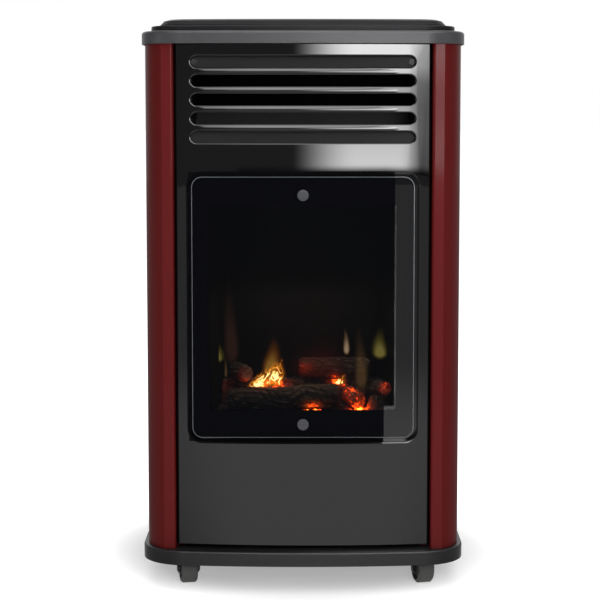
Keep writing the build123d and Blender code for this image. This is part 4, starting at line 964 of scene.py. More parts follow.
@dataclass
class Logs:
    """The five charred logs: bark-covered tubes laid along the CAD logs' own lines.

    Lengths are in mm and angles in radians. The bark's heights are in bark depths.
    """

    dresser: Dresser
    front: float = FRONT_Y
    sides: int = 120
    steps: int = 150
    first_seed: int = 11
    half_ridges: float = 5.5
    wander: float = 0.35
    twist: float = 1.2
    ridge_power: float = 0.6
    fine_height: float = 0.3
    bark_depth: float = 1.6
    cut_from: float = 0.2
    cut_depth: float = 1.3
    lump_share: float = 0.05
    end_round: float = 8.0
    end_shrink: float = 0.25
    face_rings: tuple[float, ...] = (0.0, 0.25, 0.5, 0.72, 0.88, 0.97)
    face_dish: float = 0.6
    face_grain: float = 0.25
    crack_level: float = 0.75
    crack_slope: float = 0.6
    face_crack: float = 0.02
    glow_and_firelight_on_bark: float = 0.35
    glow_in_cracks: float = 0.9
    lines: tuple[LogLine, ...] = (
        LogLine("log_front", (-102, 66, 250.8), (50, 71, 254.8), 14.0, 18.0, -2.0),
        LogLine("log_back", (-6, 112.5, 286.9), (93, 111.5, 286.8), 15.5, 15.0, 1.0),
        LogLine("log_left", (-76, 84, 283), (-96, 118, 283), 11.5, 13.0, 1.0),
        LogLine("log_right", (78, 64, 246.8), (60, 93, 257), 12.2, 11.5, 1.0),
        LogLine("log_far_right", (113, 61, 266), (101, 86, 266), 10.5, 10.0, 0.0),
    )

    def build(self) -> None:
        """Build every log with its glow."""
        for number, line in enumerate(self.lines):
            self.build_log(self.first_seed + number, line)

    def bark(self, seed: int, angle: np.ndarray, run: np.ndarray) -> np.ndarray:
        """Height of the bark, in bark depths.

        Long ridges are the absolute value of a sine round the log, to a power, whose place
        wanders along it. Fine waves lie over them, and where one more noise passes
        cut_from, a cross crack cuts them into plates. The two numbers of each noise are
        its most waves round the log and its most waves per metre along it.

        Args:
            seed: Seed of this log's bark.
            angle: Angles round the log, as one row.
            run: Distances along it in metres, as one column.

        Returns:
            Array of shape (steps, sides).
        """
        wander = self.wander * wave_noise(angle * 0, run, 1, 22, seed)
        twist = self.twist * wave_noise(angle, run, 3, 30, seed + 1)
        ridges = np.abs(np.sin(self.half_ridges * (angle + wander) + twist))
        fine = wave_noise(angle, run, 26, 60, seed + 2)
        cut = np.clip(wave_noise(angle, run, 9, 120, seed + 3) - self.cut_from, 0, 1)
        return ridges**self.ridge_power + self.fine_height * fine - self.cut_depth * cut

    def build_log(self, seed: int, line: LogLine) -> None:
        """Build one log.

        The radius runs evenly from the start's to the end's, times one plus slow lumps,
        and the tops of the bark lie at it. Near each end it is rounded in by end_shrink,
        and then falls to nothing over a rough, dished face. The bark is cracked where it
        is low, and it glows by the heat of the place and by painted firelight, most in its
        cracks.

        Args:
            seed: Seed of this log's bark.
            line: Where it lies and how thick it is.
        """
        first = np.array([line.start[0], self.front + line.start[1], line.start[2]], float)
        last = np.array([line.end[0], self.front + line.end[1], line.end[2]], float)
        along = last - first
        length = float(np.linalg.norm(along))
        along /= length
        side = np.cross(along, (0.0, 0.0, 1.0))
        side /= np.linalg.norm(side)
        up = np.cross(side, along)

        angle = np.linspace(0, FULL_TURN, self.sides, endpoint=False)[None, :]
        share = np.linspace(0, 1, self.steps)[:, None]
        run = share * length * MM
        height = self.bark(seed, angle, run)
        lumps = 1 + self.lump_share * wave_noise(angle, run, 3, 14, seed + 4)
        radius = (line.start_radius + (line.end_radius - line.start_radius) * share) * lumps
        radius = radius - self.bark_depth + self.bark_depth * height
        near_end = np.minimum(share, 1 - share) * length / self.end_round
        radius = radius * (1 - self.end_shrink * np.clip(1 - near_end, 0, 1) ** 2)

        # each end face is rings that shrink to the axis, dished by up to a millimetre
        rings = np.array(self.face_rings)[:, None]
        grain = self.face_grain * wave_noise(angle, rings * 20 * MM, 14, 400, seed + 5)
        head = rings * radius[0]
        tail = rings[::-1] * radius[-1]
        head_push = (1 - rings) * (self.face_dish + grain)
        tail_push = (1 - rings[::-1]) * (self.face_dish + grain)
        radius = np.vstack([head, radius, tail])
        share_all = np.vstack([np.zeros_like(head[:, :1]), share, np.ones_like(tail[:, :1])])
        push = np.vstack([head_push, np.zeros((self.steps, self.sides)), -tail_push])
        bend = line.sag * np.sin(math.pi * share_all)

        points = (
            first
            + along * (share_all[..., None] * length + push[..., None])
            + np.array([0.0, 1.0, 0.0]) * bend[..., None]
            + side * (radius * np.cos(angle))[..., None]
            + up * (radius * np.sin(angle))[..., None]
        ) * MM
        crack = np.clip(self.crack_level - self.crack_slope * height, 0, 1)
        ends = np.full(head.shape, self.face_crack) + self.face_grain * np.abs(grain)
        crack = np.vstack([ends, crack, ends])
        glow = glow_and_firelight_at(points) * (self.glow_and_firelight_on_bark + self.glow_in_cracks * crack)
        values = {"crack": crack, "glow": glow}
        piece = surface(f"{line.node}_bark", points, closed=True, values=values, flip=True)
        self.dresser.finish_piece(piece, CHARRED, "root", "ceramic_fuel")
        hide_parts(line.node)


@dataclass
class EmberBed:
    """The lumpy crust of coals that covers both terraces of the ceramic bed.

    Lengths are in mm, and a pair is across and then back.
    """

    dresser: Dresser
    front: float = FRONT_Y
    half_width_front: float = 124.0
    half_width_back: float = 106.0
    columns: int = 420
    rows: int = 150
    seed: int = 5
    coals: int = 520
    coals_half_width: float = 126.0
    coal_reach: float = math.sqrt(42.0)
    coal_power: float = 0.7
    coal_rise: float = 4.2
    coal_roughness: float = 0.25
    crack_share: float = 0.8
    glow_between: float = 0.5
    glow_on_coals: float = 0.8
    mound_middle: tuple[float, float] = (104.0, 72.0)
    mound_reach: tuple[float, float] = (17.0, 18.0)
    mound_rise: float = 17.0
    mound_fullness: float = 2.2
    # depth from the front and height of the bed's outline, in mm, from front to back
    outline: tuple[tuple[float, float], ...] = (
        (46.5, 233.0),
        (48.0, 235.6),
        (98.5, 235.8),
        (103.5, 262.0),
        (106.0, 270.2),
        (129.0, 270.4),
    )

    def lumps(self, x: np.ndarray, run: np.ndarray, length: float) -> np.ndarray:
        """Rounded coals: one less the square of the gap to the nearest over its reach.

        It is cut off at nothing and raised to coal_power, which rounds the coals' tops.

        Args:
            x: Distance to the right, in mm.
            run: Distance along the outline, in mm.
            length: The outline's length.

        Returns:
            Rise from 0 between the coals to 1 on their tops, in the shape of x.
        """
        random = np.random.default_rng(self.seed)
        half = self.coals_half_width
        across = random.uniform(-half, half, self.coals)
        centres = np.stack([across, random.uniform(0, length, self.coals)], axis=1)
        grid = np.stack([x, run], axis=-1)
        gaps = np.full(x.shape, np.inf)
        for centre in centres:
            gaps = np.minimum(gaps, ((grid - centre) ** 2).sum(axis=-1))
        return np.clip(1 - gaps / self.coal_reach**2, 0, 1) ** self.coal_power

    def build(self) -> None:
        """Build the crust with its glow.

        The crust follows the bed's outline from the lower terrace up to the rear one, and
        the coals rise square to it. Under the right-hand log lies a mound: its rise is one
        less the squares of the shares of its reach, times its fullness, cut off at one.
        """
        line = np.array(self.outline)
        legs = np.concatenate([[0], np.cumsum(np.linalg.norm(np.diff(line, axis=0), axis=1))])
        t = np.linspace(0, legs[-1], self.rows)
        depth = np.interp(t, legs, line[:, 0])
        level = np.interp(t, legs, line[:, 1])
        ends = (line[0, 0], line[-1, 0])
        half = np.interp(depth, ends, (self.half_width_front, self.half_width_back))
        x = half[:, None] * np.linspace(-1, 1, self.columns)[None, :]
        run = np.broadcast_to(t[:, None], x.shape)

        lumps = self.lumps(x, run, legs[-1])
        # a turn of the noise is some 38 mm across, and it has up to 160 waves per metre back
        fine = wave_noise(x / 6.0, run * MM, 5, 160, self.seed + 1)
        rough = 1 - self.coal_roughness + self.coal_roughness * fine
        rise = self.coal_rise * lumps * rough
        away_x = (x - self.mound_middle[0]) / self.mound_reach[0]
        away_y = (depth[:, None] - self.mound_middle[1]) / self.mound_reach[1]
        mound = np.clip(1 - away_x**2 - away_y**2, 0, 1)
        rise = rise + self.mound_rise * np.clip(mound * self.mound_fullness, 0, 1)
        steep = np.gradient(level, t)[:, None]
        flat = np.sqrt(np.clip(1 - steep**2, 0, 1))
        y = self.front + depth[:, None] - rise * steep
        points = np.stack([x, y, level[:, None] + rise * flat], axis=-1) * MM
        crack = np.clip(1.0 - lumps, 0, 1) * self.crack_share
        glow = glow_and_firelight_at(points) * (self.glow_between + self.glow_on_coals * lumps)
        piece = surface("ember_bed_coals", points, values={"crack": crack, "glow": glow})
        self.dresser.finish_piece(piece, COALS, "root", "ceramic_fuel")


@dataclass(frozen=True)
class Tongue:
    """One tongue of flame: its foot, size, lean and forward bulge in mm, and its colours."""

    name: str
    foot: Vec
    width: float
    height: float
    lean: float
    fan: float
    finish: Flame


@dataclass
class Flames:
    """Tongues of burning gas between the logs, each a thin curved sheet of light. The tall brown
    one at the back left is painted firelight on the firebox's left wall.
    """

    dresser: Dresser
    front: float = FRONT_Y
    rows: int = 40
    columns: int = 24
    tear_part: tuple[float, float] = (0.005, 0.99)
    tear_power: float = 0.8
    sway: float = 0.10
    sway_turn: float = 5.0
    sway_shift: float = 1.7
    lean_power: float = 1.5
    edge_fade: float = 1.2
    tip_fade: float = 1.1
    tip_start: float = 1.25
    tip_slope: float = 1.3
    foot_start: float = 0.25
    foot_slope: float = 6.0
    tongues: tuple[Tongue, ...] = (
        Tongue("flame_core", (-52, 80, 266), 48, 40, 26, 5.0, WHITE_FLAME),
        Tongue("flame_core_left", (-62, 78, 266), 34, 15, 12, 4.0, WHITE_FLAME),
        Tongue("flame_core_right", (-38, 79, 266), 28, 44, 8, 4.0, WHITE_FLAME),
        Tongue("flame_rise", (-44, 92, 280), 30, 62, 4, 4.0, YELLOW_FLAME),
        Tongue("flame_left", (-121, 96, 296), 28, 42, 2, 3.0, PALE_FLAME),
        # painted firelight: a faint sheet that stands for the fire's light on the left wall
        Tongue("firelight_left_wall", (-98, 104, 290), 26, 150, -6, 3.0, LEFT_WALL_FIRELIGHT),
        Tongue("flame_middle", (24, 100, 272), 110, 84, 3, 4.0, RED_HAZE),
        Tongue("flame_right", (60, 94, 308), 11, 44, -3, 2.0, CANDLE_FLAME),
        Tongue("flame_right_back", (80, 90, 258), 24, 110, -2, 2.0, RUST_FLAME),
        Tongue("flame_far_right", (106, 94, 302), 26, 52, 0, 2.0, PALE_FLAME),
        Tongue("flame_hot_spot", (50, 76, 270), 18, 16, 6, 2.0, WHITE_FLAME),
        Tongue("flame_streak", (-106, 92, 276), 6, 42, -2, 1.0, RUST_FLAME),
    )

    def build(self) -> None:
        """Build every tongue."""
        for number, tongue in enumerate(self.tongues):
            self.build_tongue(number, tongue)

    def build_tongue(self, number: int, tongue: Tongue) -> None:
        """Build one tongue of flame.

        Its half width is that of a teardrop: it swells fast from the foot and draws out
        to a point, as the sine of pi times the square root of the share of the height.
        Only the tear_part of that curve is used, so that both ends keep a little width.
        It leans and sways as it rises, and bulges forward in the middle. Its burn is one
        less the square of the share across, to a power, times two lines over the height,
        both cut off at nothing and one: one rises from foot_start, and the other falls
        from tip_start and is raised to tip_fade.

        Args:
            number: Which tongue it is, for its sway.
            tongue: Its size and place.
        """
        share = np.linspace(0, 1, self.rows)[:, None]
        across = np.linspace(-1, 1, self.columns)[None, :]
        low, high = self.tear_part
        swell = np.sin(math.pi * np.sqrt(share * (high - low) + low)) ** self.tear_power
        wave = np.sin(self.sway_turn * share + self.sway_shift * number)
        sway = self.sway * tongue.width * wave * share
        middle = tongue.foot[0] + tongue.lean * share**self.lean_power + sway
        x = middle + 0.5 * tongue.width * swell * across
        bulge = tongue.fan * (1 - across**2) * swell
        y = self.front + tongue.foot[1] - bulge + 0 * x
        z = tongue.foot[2] + tongue.height * share + 0 * x
        points = np.stack([x, y, z], axis=-1) * MM
        tip = np.clip(self.tip_start - share * self.tip_slope, 0, 1) ** self.tip_fade
        fade = (1 - across**2) ** self.edge_fade * tip
        burn = fade * np.clip(share * self.foot_slope + self.foot_start, 0, 1)
        piece = surface(tongue.name, points, values={"burn": burn})
        self.dresser.finish_piece(piece, tongue.finish, "root")


@dataclass
class Ribs:
    """The four ribs of sheet between the louvres, rolled fuller than the flat CAD ribs.

    Lengths are in mm, and the root is how far a rib's edges stand behind the sheet.
    """

    dresser: Dresser
    front: float = -215.5
    bow_radius: float = 1300.0
    louvre_levels: tuple[float, ...] = (707.4, 682.5, 657.6, 632.7, 607.8)
    louvre_height: float = 17.8
    half_length: float = 148.5
    left_blend: float = 18.0
    right_blend: float = 100.0
    swell: float = 1.8
    lean: float = 0.45
    sink: float = 0.3
    edge_gap: float = 0.05
    root: float = -2.0
    columns: int = 150
    rows: int = 22

    def build(self) -> None:
        """Build the rib under each louvre but the last."""
        for number, level in enumerate(self.louvre_levels[:-1]):
            middle = 0.5 * (level + self.louvre_levels[number + 1])
            self.build_rib(number + 1, middle, level - middle - 0.5 * self.louvre_height)

    def build_rib(self, number: int, middle: float, half_height: float) -> None:
        """Build one rib.

        Across its height v runs from -1 at the lower edge to 1 at the upper one, and the
        rib stands proud of the bowed sheet by swell * sqrt(1 - v^2) * (1 - lean * v), less
        its sink, so it bulges most below its middle. Its two edges turn back to the root.
        It flattens into the sheet over each end's own length.

        Args:
            number: Which rib it is, from the top.
            middle: Level of its middle, in mm.
            half_height: Half of its height.
        """
        x = np.linspace(-self.half_length, self.half_length, self.columns)[None, :]
        turn = np.linspace(0, math.pi, self.rows)[:, None]
        v = np.cos(turn)
        proud = self.swell * np.sin(turn) * (1 - self.lean * v) - self.sink
        proud[0, 0] = proud[-1, 0] = self.root
        left = (self.half_length + x) / self.left_blend
        right = (self.half_length - x) / self.right_blend
        reach = np.clip(np.minimum(left, right), 0, 1)
        blend = reach * reach * (3 - 2 * reach)
        bow = self.bow_radius - np.sqrt(self.bow_radius**2 - x**2)
        y = self.front + bow - proud * blend + self.sink * (1 - blend)
        z = middle + (half_height - self.edge_gap) * v + 0 * x
        points = np.stack([x + 0 * z, y + 0 * z, z], axis=-1) * MM
        piece = surface(f"louvre_rib_{number}", points, flip=True)
        self.dresser.finish_piece(piece, FRONT_ENAMEL, "root", "front_enamel")


@dataclass
class Window:
    """The black printed border of the glass and a pale ring round its edge, a painted highlight for
    the line of light along it, both on its front, in mm.
    """

    dresser: Dresser
    glass_half_width: float = 149.0
    glass_low: float = 203.5
    glass_high: float = 555.5
    glass_corner: float = 14.0
    side_border: float = 24.0
    end_border: float = 38.0
    view_corner: float = 3.0
    print_inset: float = 0.8
    print_y: float = -201.60
    edge_inset: float = 0.1
    edge_width: float = 0.8
    edge_y: float = -201.70
    corner_steps: int = 12

    def rounded(self, half_width: float, low: float, high: float, corner: float) -> np.ndarray:
        """Points round a rounded rectangle: four quarter circles joined by straight sides.

        Args:
            half_width: Half of its width.
            low: Its lowest level.
            high: Its highest level.
            corner: Radius of its corners.

        Returns:
            Array of shape (points, 2), the same number of points for any size.
        """
        turn = np.linspace(0, math.pi / 2, self.corner_steps)
        corners = (
            (half_width - corner, high - corner, 0.0),
            (-half_width + corner, high - corner, 0.5),
            (-half_width + corner, low + corner, 1.0),
            (half_width - corner, low + corner, 1.5),
        )
        parts = []
        for x, z, start in corners:
            angle = turn + start * math.pi
            parts.append(np.stack([x + corner * np.cos(angle), z + corner * np.sin(angle)], axis=1))
        return np.concatenate(parts)

    def pane(self, inset: float) -> np.ndarray:
        """Points round the glass, moved in from its edge.

        Args:
            inset: How far in, in mm.

        Returns:
            The points, as rounded gives them.
        """
        return self.rounded(
            self.glass_half_width - inset,
            self.glass_low + inset,
            self.glass_high - inset,
            self.glass_corner - inset,
        )

    def build_ring(
        self, name: str, outer: np.ndarray, inner: np.ndarray, y: float, finish: Finish
    ) -> None:
        """Build a flat upright ring between two outlines.

        Args:
            name: Its name.
            outer: Points round its outer outline.
            inner: As many points round its inner one.
            y: Its place from front to back, in mm.
            finish: Its finish.
        """
        ring = np.stack([outer, inner])
        depth = np.full(ring.shape[:2], y)
        points = np.stack([ring[..., 0], depth, ring[..., 1]], axis=-1) * MM
        piece = surface(name, points, closed=True)
        self.dresser.finish_piece(piece, finish, "root", "window_glass")

    def build(self) -> None:
        """Build the print, up to the clear part of the glass, and the painted highlight round its
        edge.
        """
        clear = self.rounded(
            self.glass_half_width - self.side_border,
            self.glass_low + self.end_border,
            self.glass_high - self.end_border,
            self.view_corner,
        )
        outer = self.pane(self.print_inset)
        self.build_ring("window_print", outer, clear, self.print_y, PRINT_BLACK)
        # the edge ring is a painted highlight: pale grey where the glass's edge catches the light
        outer, inner = self.pane(self.edge_inset), self.pane(self.edge_inset + self.edge_width)
        self.build_ring("window_edge_highlight", outer, inner, self.edge_y, GLASS_EDGE_HIGHLIGHT)


# ------------------------------------------------------------------------------ studio
Strength = float | Callable[[bpy.types.NodeTree, bpy.types.Node], bpy.types.NodeSocket]

# kinds of ray that don't meet a studio piece
ROOM_WALL = ("camera", "shadow")
LIGHT_CARD = ("camera", "shadow", "transmission")
DARK_FLAG = ("camera", "shadow", "diffuse")
GLOSS_ONLY = ("camera", "shadow", "diffuse", "transmission")


@dataclass(frozen=True)
class Lamp:
    """A soft area light: its place and aim in metres, width and height, watts and colour."""

    name: str
    place: Vec
    aim: Vec
    size: tuple[float, float]
    power: float
    colour: str = WHITE


LAMPS = (
    Lamp("top_light", (0.1, -0.2, 2.6), (0, 0, 0.5), (2.6, 2.6), 26.0),
    Lamp("front_light", (0.2, -2.6, 2.3), (0, 0, 0.4), (1.8, 1.0), 12.0),
    Lamp("left_light", (-2.4, -1.0, 0.7), (0, 0, 0.3), (0.8, 1.2), 5.0),
    Lamp("right_light", (2.4, -1.0, 0.8), (0, 0, 0.3), (0.8, 1.2), 4.0),
    Lamp("back_light", (0.0, 3.0, 2.0), (0, 0, 0.4), (2.4, 1.4), 10.0),
    # the fire's own light on the logs and on the walls beside it
    Lamp("fire_fill", (0.0, -0.182, 0.40), (0, -0.15, 0.25), (0.20, 0.03), 0.16, "FFD8B0"),
    Lamp(
        "right_wall_fill",
        (-0.06, -0.175, 0.45),
        (0.125, -0.16, 0.42),
        (0.03, 0.16),
        0.03,
        "F0E8F4",
    ),
    Lamp(
        "left_wall_fill",
        (0.04, -0.17, 0.33),
        (-0.12, -0.13, 0.36),
        (0.04, 0.06),
        0.02,
        "FF9060",
    ),
)


@dataclass
class Studio:
    """The pale floor, the wall round it, the soft boxes, dark flags, lamps and camera.

    The black gloss of the front shows the cards, which no view shows by themselves: the
    low card as its bright foot, and the tall soft box as the light patch at its upper
    right. Two dark flags just before the glass keep the room's reflection off the fire.
    A Span holds two places and the light at each of them.
    """

    camera_place: Vec = (0.0, -2.5, 0.64)
    pitch: float = 5.2
    lens: float = 103.5
    sensor_width: float = 36.0
    shift: tuple[float, float] = (-0.005, -0.05)
    view_end: float = 200.0

    floor_circles: tuple[float, ...] = (0.0, 1.0, 3.0, 8.0, 20.0, 60.0)
    floor_paper: str = "D0D0D0"
    # the floor glows less near the heater: painted shade round its foot, over its rendered shadow
    floor_glow_and_painted_shade: Span = (0.20, 0.38, 0.36, 1.0)  # by distance from the heater's middle
    wall_radius: float = 3.6
    wall_heights: tuple[float, float] = (0.405, 4.0)
    wall_glow: Span = (1.0, 3.2, 0.2, 1.0)  # by distance behind
    room_glow: float = 0.2

    low_card_circles: tuple[float, ...] = (0.3, 1.0, 3.6, 14.0)
    low_card_height: float = 0.004
    low_card_left: Span = (-0.75, -0.2, 0.0, 1.0)  # by bearing from the front, in radians
    low_card_right: Span = (0.3, 0.85, 1.0, 0.0)
    low_card_far: Span = (1.2, 2.4, 1.0, 0.25)  # by distance in front
    low_card_power: float = 0.75
    low_card_least: float = 0.3

    softbox_middle: Vec = (0.425, -2.85, 1.16)
    softbox_size: tuple[float, float] = (1.95, 1.4)
    softbox_left: Span = (-0.10, 0.45, 0.0, 1.0)  # by X
    softbox_right: Span = (0.669, 0.949, 1.0, 0.05)  # by X less the lean times the height
    softbox_lean: float = 0.215
    softbox_foot: Span = (0.462, 0.492, 0.0, 1.0)  # by height
    softbox_rise: Span = (0.5, 1.5, 0.0, 1.0)  # heights at the two ends of its stops
    softbox_stops: Stops = (
        (0.0, "E2E2E2"),
        (0.0875, "D0D0D0"),
        (0.1575, "B4B4B4"),
        (0.231, "B8B8B8"),
        (0.28, "FFFFFF"),
        (0.42, "FFFFFF"),
        (0.62, "BCBCBC"),
        (1.0, "B0B0B0"),
    )
    softbox_power: float = 19.0
    softbox_least: float = 0.2

    sky_x: tuple[float, float] = (-1.6, 1.8)
    sky_y: tuple[float, float] = (-3.2, -0.8)
    sky_height: float = 2.2
    sky_near: Span = (-3.2, -0.8, 3.0, 8.0)  # by Y
    sky_left: Span = (-1.1, -0.2, 0.12, 1.0)  # by X

    flag_colour: str = "3E4046"
    flag_y: float = -0.225
    # name, middle in X and Z, width and height of each flag
    flags: tuple[tuple[str, float, float, float, float], ...] = (
        ("window_flag", -0.0174, 0.4015, 0.2832, 0.319),
        ("window_flag_foot", -0.0245, 0.2192, 0.2691, 0.0456),
    )

    def set_up(
        self, piece: bpy.types.Object, material: bpy.types.Material, unmet: Sequence[str] = ()
    ) -> None:
        """Dress a studio piece and hide it from some rays.

        Args:
            piece: The studio piece.
            material: Its finish.
            unmet: The kinds of ray that don't meet it.
        """
        piece.data.materials.append(material)
        for ray in unmet:
            setattr(piece, f"visible_{ray}", False)

    def card(
        self,
        name: str,
        middle: Vec,
        size: tuple[float, float],
        material: bpy.types.Material,
        unmet: Sequence[str],
    ) -> None:
        """An upright card that faces the heater.

        Args:
            name: The card's name.
            middle: Its middle, in metres.
            size: Its width along X and its height.
            material: Its finish.
            unmet: The kinds of ray that don't meet it.
        """
        x, y, z = middle
        halves = np.array([-0.5, 0.5])
        across, up = np.meshgrid(halves * size[0], halves * size[1])
        points = np.stack([x + across, np.full((2, 2), y), z + up], axis=-1)
        self.set_up(surface(name, points, flip=True), material, unmet)

    def light_material(
        self, title: str, strength: Strength, colour: str = WHITE
    ) -> bpy.types.Material:
        """Light with no surface.

        Args:
            title: The material's name.
            strength: Its strength, or a function that adds the nodes for it to a tree and
                is given a node with the object coordinates apart, in metres.
            colour: Its sRGB hex colour.

        Returns:
            The material.
        """
        material, tree, out = new_material(title)
        if callable(strength):
            where = add_node(tree, "ShaderNodeTexCoord")
            apart = add_node(tree, "ShaderNodeSeparateXYZ", Vector=where.outputs["Object"])
            strength = strength(tree, apart)
        light = add_node(tree, "ShaderNodeEmission", Color=linear(colour), Strength=strength)
        tree.links.new(light.outputs[0], out.inputs[0])
        return material

    def floor(self) -> None:
        """A round pale floor that glows, and outruns every view. It glows less under the heater,
        which paints shade round its foot.
        """
        circles = self.floor_circles
        piece = surface("studio_floor", round_sheet(circles, [0.0] * len(circles)), closed=True)
        material, tree, out = new_material("studio_paper")
        where = add_node(tree, "ShaderNodeTexCoord")
        reach = add_node(
            tree, "ShaderNodeVectorMath", {"operation": "LENGTH"}, in0=where.outputs["Object"]
        )
        # dimmer glow near the heater: painted shade
        glow = add_node(
            tree,
            "ShaderNodeMapRange",
            SMOOTH,
            Value=reach.outputs["Value"],
            **span(self.floor_glow_and_painted_shade),
        )
        shader = add_node(
            tree,
            "ShaderNodeBsdfPrincipled",
            Base_Color=linear(self.floor_paper),
            Roughness=0.9,
            Emission_Color=linear(WHITE),
            Emission_Strength=glow.outputs["Result"],
        )
        tree.links.new(shader.outputs[0], out.inputs[0])
        self.set_up(piece, material)

    def wall_strength(
        self, tree: bpy.types.NodeTree, apart: bpy.types.Node
    ) -> bpy.types.NodeSocket:
        """Light of the wall: dim in front of the heater and white behind it.

        Args:
            tree: The wall's node tree.
            apart: Its object coordinates.

        Returns:
            The strength.
        """
        level = add_node(
            tree, "ShaderNodeMapRange", SMOOTH, Value=apart.outputs["Y"], **span(self.wall_glow)
        )
        return level.outputs["Result"]

    def wall(self) -> None:
        """A round wall that starts above the floor, unseen itself."""
        points = round_sheet([self.wall_radius] * 2, self.wall_heights)
        piece = surface("studio_wall", points, closed=True)
        material = self.light_material("studio_dim_wall", self.wall_strength)
        self.set_up(piece, material, ROOM_WALL)

    def low_card_strength(
        self, tree: bpy.types.NodeTree, apart: bpy.types.Node
    ) -> bpy.types.NodeSocket:
        """Light of the low card: a wedge ahead of the heater that dims far out.

        The wedge is left of the bearing low_card_right and right of low_card_left, where a
        bearing is the angle whose tangent is X over the distance in front.

        Args:
            tree: The card's node tree.
            apart: Its object coordinates.

        Returns:
            The strength: low_card_power times the wedge and the far fade, plus the least.
        """
        ahead = add_node(
            tree, "ShaderNodeMath", TIMES, in0=apart.outputs["Y"], in1=-1.0
        ).outputs[0]
        bearing = add_node(
            tree, "ShaderNodeMath", {"operation": "ARCTAN2"}, in0=apart.outputs["X"], in1=ahead
        ).outputs[0]
        fades = (
            (bearing, self.low_card_left),
            (bearing, self.low_card_right),
            (ahead, self.low_card_far),
        )
        left, right, far = (
            add_node(tree, "ShaderNodeMapRange", SMOOTH, Value=value, **span(fade)).outputs[0]
            for value, fade in fades
        )
        wedge = add_node(tree, "ShaderNodeMath", TIMES, in0=left, in1=right)
        front = add_node(tree, "ShaderNodeMath", TIMES, in0=wedge.outputs[0], in1=far)
        level = add_node(
            tree,
            "ShaderNodeMath",
            TIMES_PLUS,
            in0=front.outputs[0],
            in1=self.low_card_power,
            in2=self.low_card_least,
        )
        return level.outputs[0]

    def low_card(self) -> None:
        """A sheet just above the floor, seen in reflections alone.

        It gives the front a bright foot, and keeps the stiles and the sides dark.
        """
        circles = self.low_card_circles
        points = round_sheet(circles, [self.low_card_height] * len(circles))
        piece = surface("studio_low_card", points, closed=True)
        material = self.light_material("studio_low_card_paper", self.low_card_strength)
        self.set_up(piece, material, GLOSS_ONLY)

    def softbox_strength(
        self, tree: bpy.types.NodeTree, apart: bpy.types.Node
    ) -> bpy.types.NodeSocket:
        """Light of the large soft box, a window of light that leans to the right.

        It fades out over its left side, along its leaning right side and at its foot, is
        dimmer between its foot and its middle, and dims again towards its top.

        Args:
            tree: The card's node tree.
            apart: Its object coordinates.

        Returns:
            The strength: the sides' fades times the power at that height, plus the least,
            all times the foot's fade.
        """
        x, z = apart.outputs["X"], apart.outputs["Z"]
        left = add_node(tree, "ShaderNodeMapRange", SMOOTH, Value=x, **span(self.softbox_left))
        lean = add_node(
            tree, "ShaderNodeMath", TIMES_PLUS, in0=z, in1=-self.softbox_lean, in2=x
        )
        right = add_node(
            tree,
            "ShaderNodeMapRange",
            SMOOTH,
            Value=lean.outputs[0],
            **span(self.softbox_right),
        )
        foot = add_node(tree, "ShaderNodeMapRange", SMOOTH, Value=z, **span(self.softbox_foot))
        height = add_node(tree, "ShaderNodeMapRange", Value=z, **span(self.softbox_rise))
        rise = add_node(tree, "ShaderNodeValToRGB", Fac=height.outputs["Result"])
        set_ramp(rise, self.softbox_stops)
        power = add_node(
            tree, "ShaderNodeMath", TIMES, in0=rise.outputs["Color"], in1=self.softbox_power
        )
        sides = add_node(
            tree,
            "ShaderNodeMath",
            TIMES,
            in0=left.outputs["Result"],
            in1=right.outputs["Result"],
        )
        level = add_node(
            tree,
            "ShaderNodeMath",
            TIMES_PLUS,
            in0=sides.outputs[0],
            in1=power.outputs[0],
            in2=self.softbox_least,
        )
        both = add_node(
            tree, "ShaderNodeMath", TIMES, in0=level.outputs[0], in1=foot.outputs["Result"]
        )
        return both.outputs[0]

    def softbox(self) -> None:
        """The large soft box at the front right, which also lights the heater."""
        material = self.light_material("studio_softbox", self.softbox_strength)
        self.card("softbox_card", self.softbox_middle, self.softbox_size, material, LIGHT_CARD)

    def sky_strength(
        self, tree: bpy.types.NodeTree, apart: bpy.types.Node
    ) -> bpy.types.NodeSocket:
        """Light of the overhead card: brightest near the heater and dim at its far left.

        Args:
            tree: The card's node tree.
            apart: Its object coordinates.

        Returns:
            The strength.
        """
        near = add_node(
            tree, "ShaderNodeMapRange", Value=apart.outputs["Y"], **span(self.sky_near)
        )
        left = add_node(
            tree, "ShaderNodeMapRange", SMOOTH, Value=apart.outputs["X"], **span(self.sky_left)
        )
        level = add_node(
            tree, "ShaderNodeMath", TIMES, in0=near.outputs["Result"], in1=left.outputs["Result"]
        )
        return level.outputs[0]

    def sky_card(self) -> None:
        """The overhead card, seen in reflections alone."""
        x, y = np.meshgrid(np.array(self.sky_x), np.array(self.sky_y))
        points = np.stack([x, y, np.full((2, 2), self.sky_height)], axis=-1)
        piece = surface("sky_card", points, flip=True)
        self.set_up(piece, self.light_material("studio_sky", self.sky_strength), GLOSS_ONLY)

    def dark_flags(self) -> None:
        """Dark cards just before the glass, met by what it reflects and not by the camera."""
        material = self.light_material("studio_flag", 1.0, self.flag_colour)
        for name, x, z, width, height in self.flags:
            self.card(name, (x, self.flag_y, z), (width, height), material, DARK_FLAG)

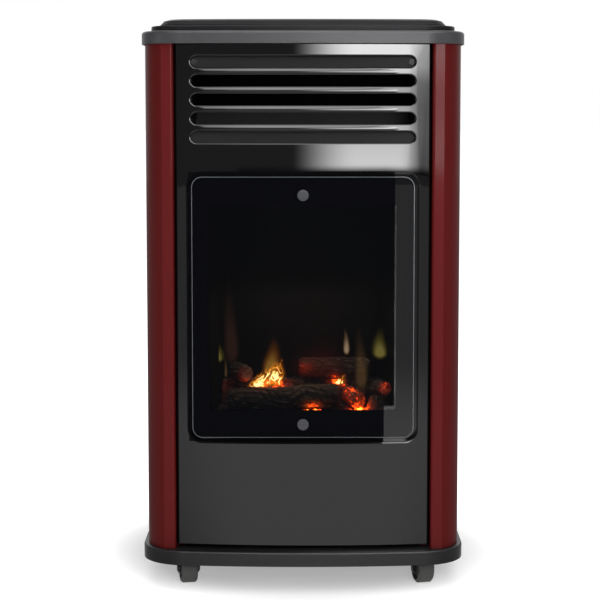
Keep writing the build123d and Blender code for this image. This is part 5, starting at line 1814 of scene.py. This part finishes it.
    def world(self) -> None:
        """A white backdrop for the camera, and a dim grey room for everything else."""
        world = bpy.data.worlds.new("studio_room")
        bpy.context.scene.world = world
        world.use_nodes = True
        tree = world.node_tree
        tree.nodes.clear()
        out = tree.nodes.new("ShaderNodeOutputWorld")
        path = add_node(tree, "ShaderNodeLightPath")
        room, back = (
            add_node(tree, "ShaderNodeBackground", Color=linear(WHITE), Strength=strength)
            for strength in (self.room_glow, 1.0)
        )
        both = add_node(
            tree,
            "ShaderNodeMixShader",
            in0=path.outputs["Is Camera Ray"],
            in1=room.outputs[0],
            in2=back.outputs[0],
        )
        tree.links.new(both.outputs[0], out.inputs[0])

    def light(self, lamp: Lamp) -> None:
        """Set up one lamp, unseen by the camera and through the glass.

        Args:
            lamp: The lamp.
        """
        data = bpy.data.lights.new(lamp.name, "AREA")
        data.shape = "RECTANGLE"
        data.size, data.size_y = lamp.size
        data.energy = lamp.power
        data.color = linear(lamp.colour)[:3]
        light = bpy.data.objects.new(lamp.name, data)
        bpy.context.scene.collection.objects.link(light)
        light.location = lamp.place
        away = mathutils.Vector(lamp.place) - mathutils.Vector(lamp.aim)
        light.rotation_euler = away.to_track_quat("Z", "Y").to_euler()
        light.visible_camera = False
        light.visible_transmission = False

    def camera(self) -> None:
        """The camera, a little below the heater's top and pitched down a few degrees."""
        data = bpy.data.cameras.new("view_camera")
        data.lens = self.lens
        data.sensor_width = self.sensor_width
        data.shift_x, data.shift_y = self.shift
        data.clip_end = self.view_end
        camera = bpy.data.objects.new("view_camera", data)
        bpy.context.scene.collection.objects.link(camera)
        camera.location = self.camera_place
        camera.rotation_euler = (math.radians(90.0 - self.pitch), 0.0, 0.0)
        bpy.context.scene.camera = camera

    def build(self) -> None:
        """Set up the whole studio."""
        bpy.context.scene.view_settings.view_transform = "Standard"
        self.floor()
        self.wall()
        self.low_card()
        self.world()
        self.softbox()
        self.sky_card()
        self.dark_flags()
        for lamp in LAMPS:
            self.light(lamp)
        self.camera()


def main() -> None:
    """Load the frame, dress it and set up the studio."""
    logging.basicConfig(level=logging.INFO, format="%(name)s %(message)s")
    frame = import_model()
    dresser = Dresser(frame["nodes"])
    dresser.dress_nodes()
    for sub_assembly in (Logs, EmberBed, Flames, Ribs, Window):
        sub_assembly(dresser).build()
    Studio().build()


if __name__ == "__main__":
    main()
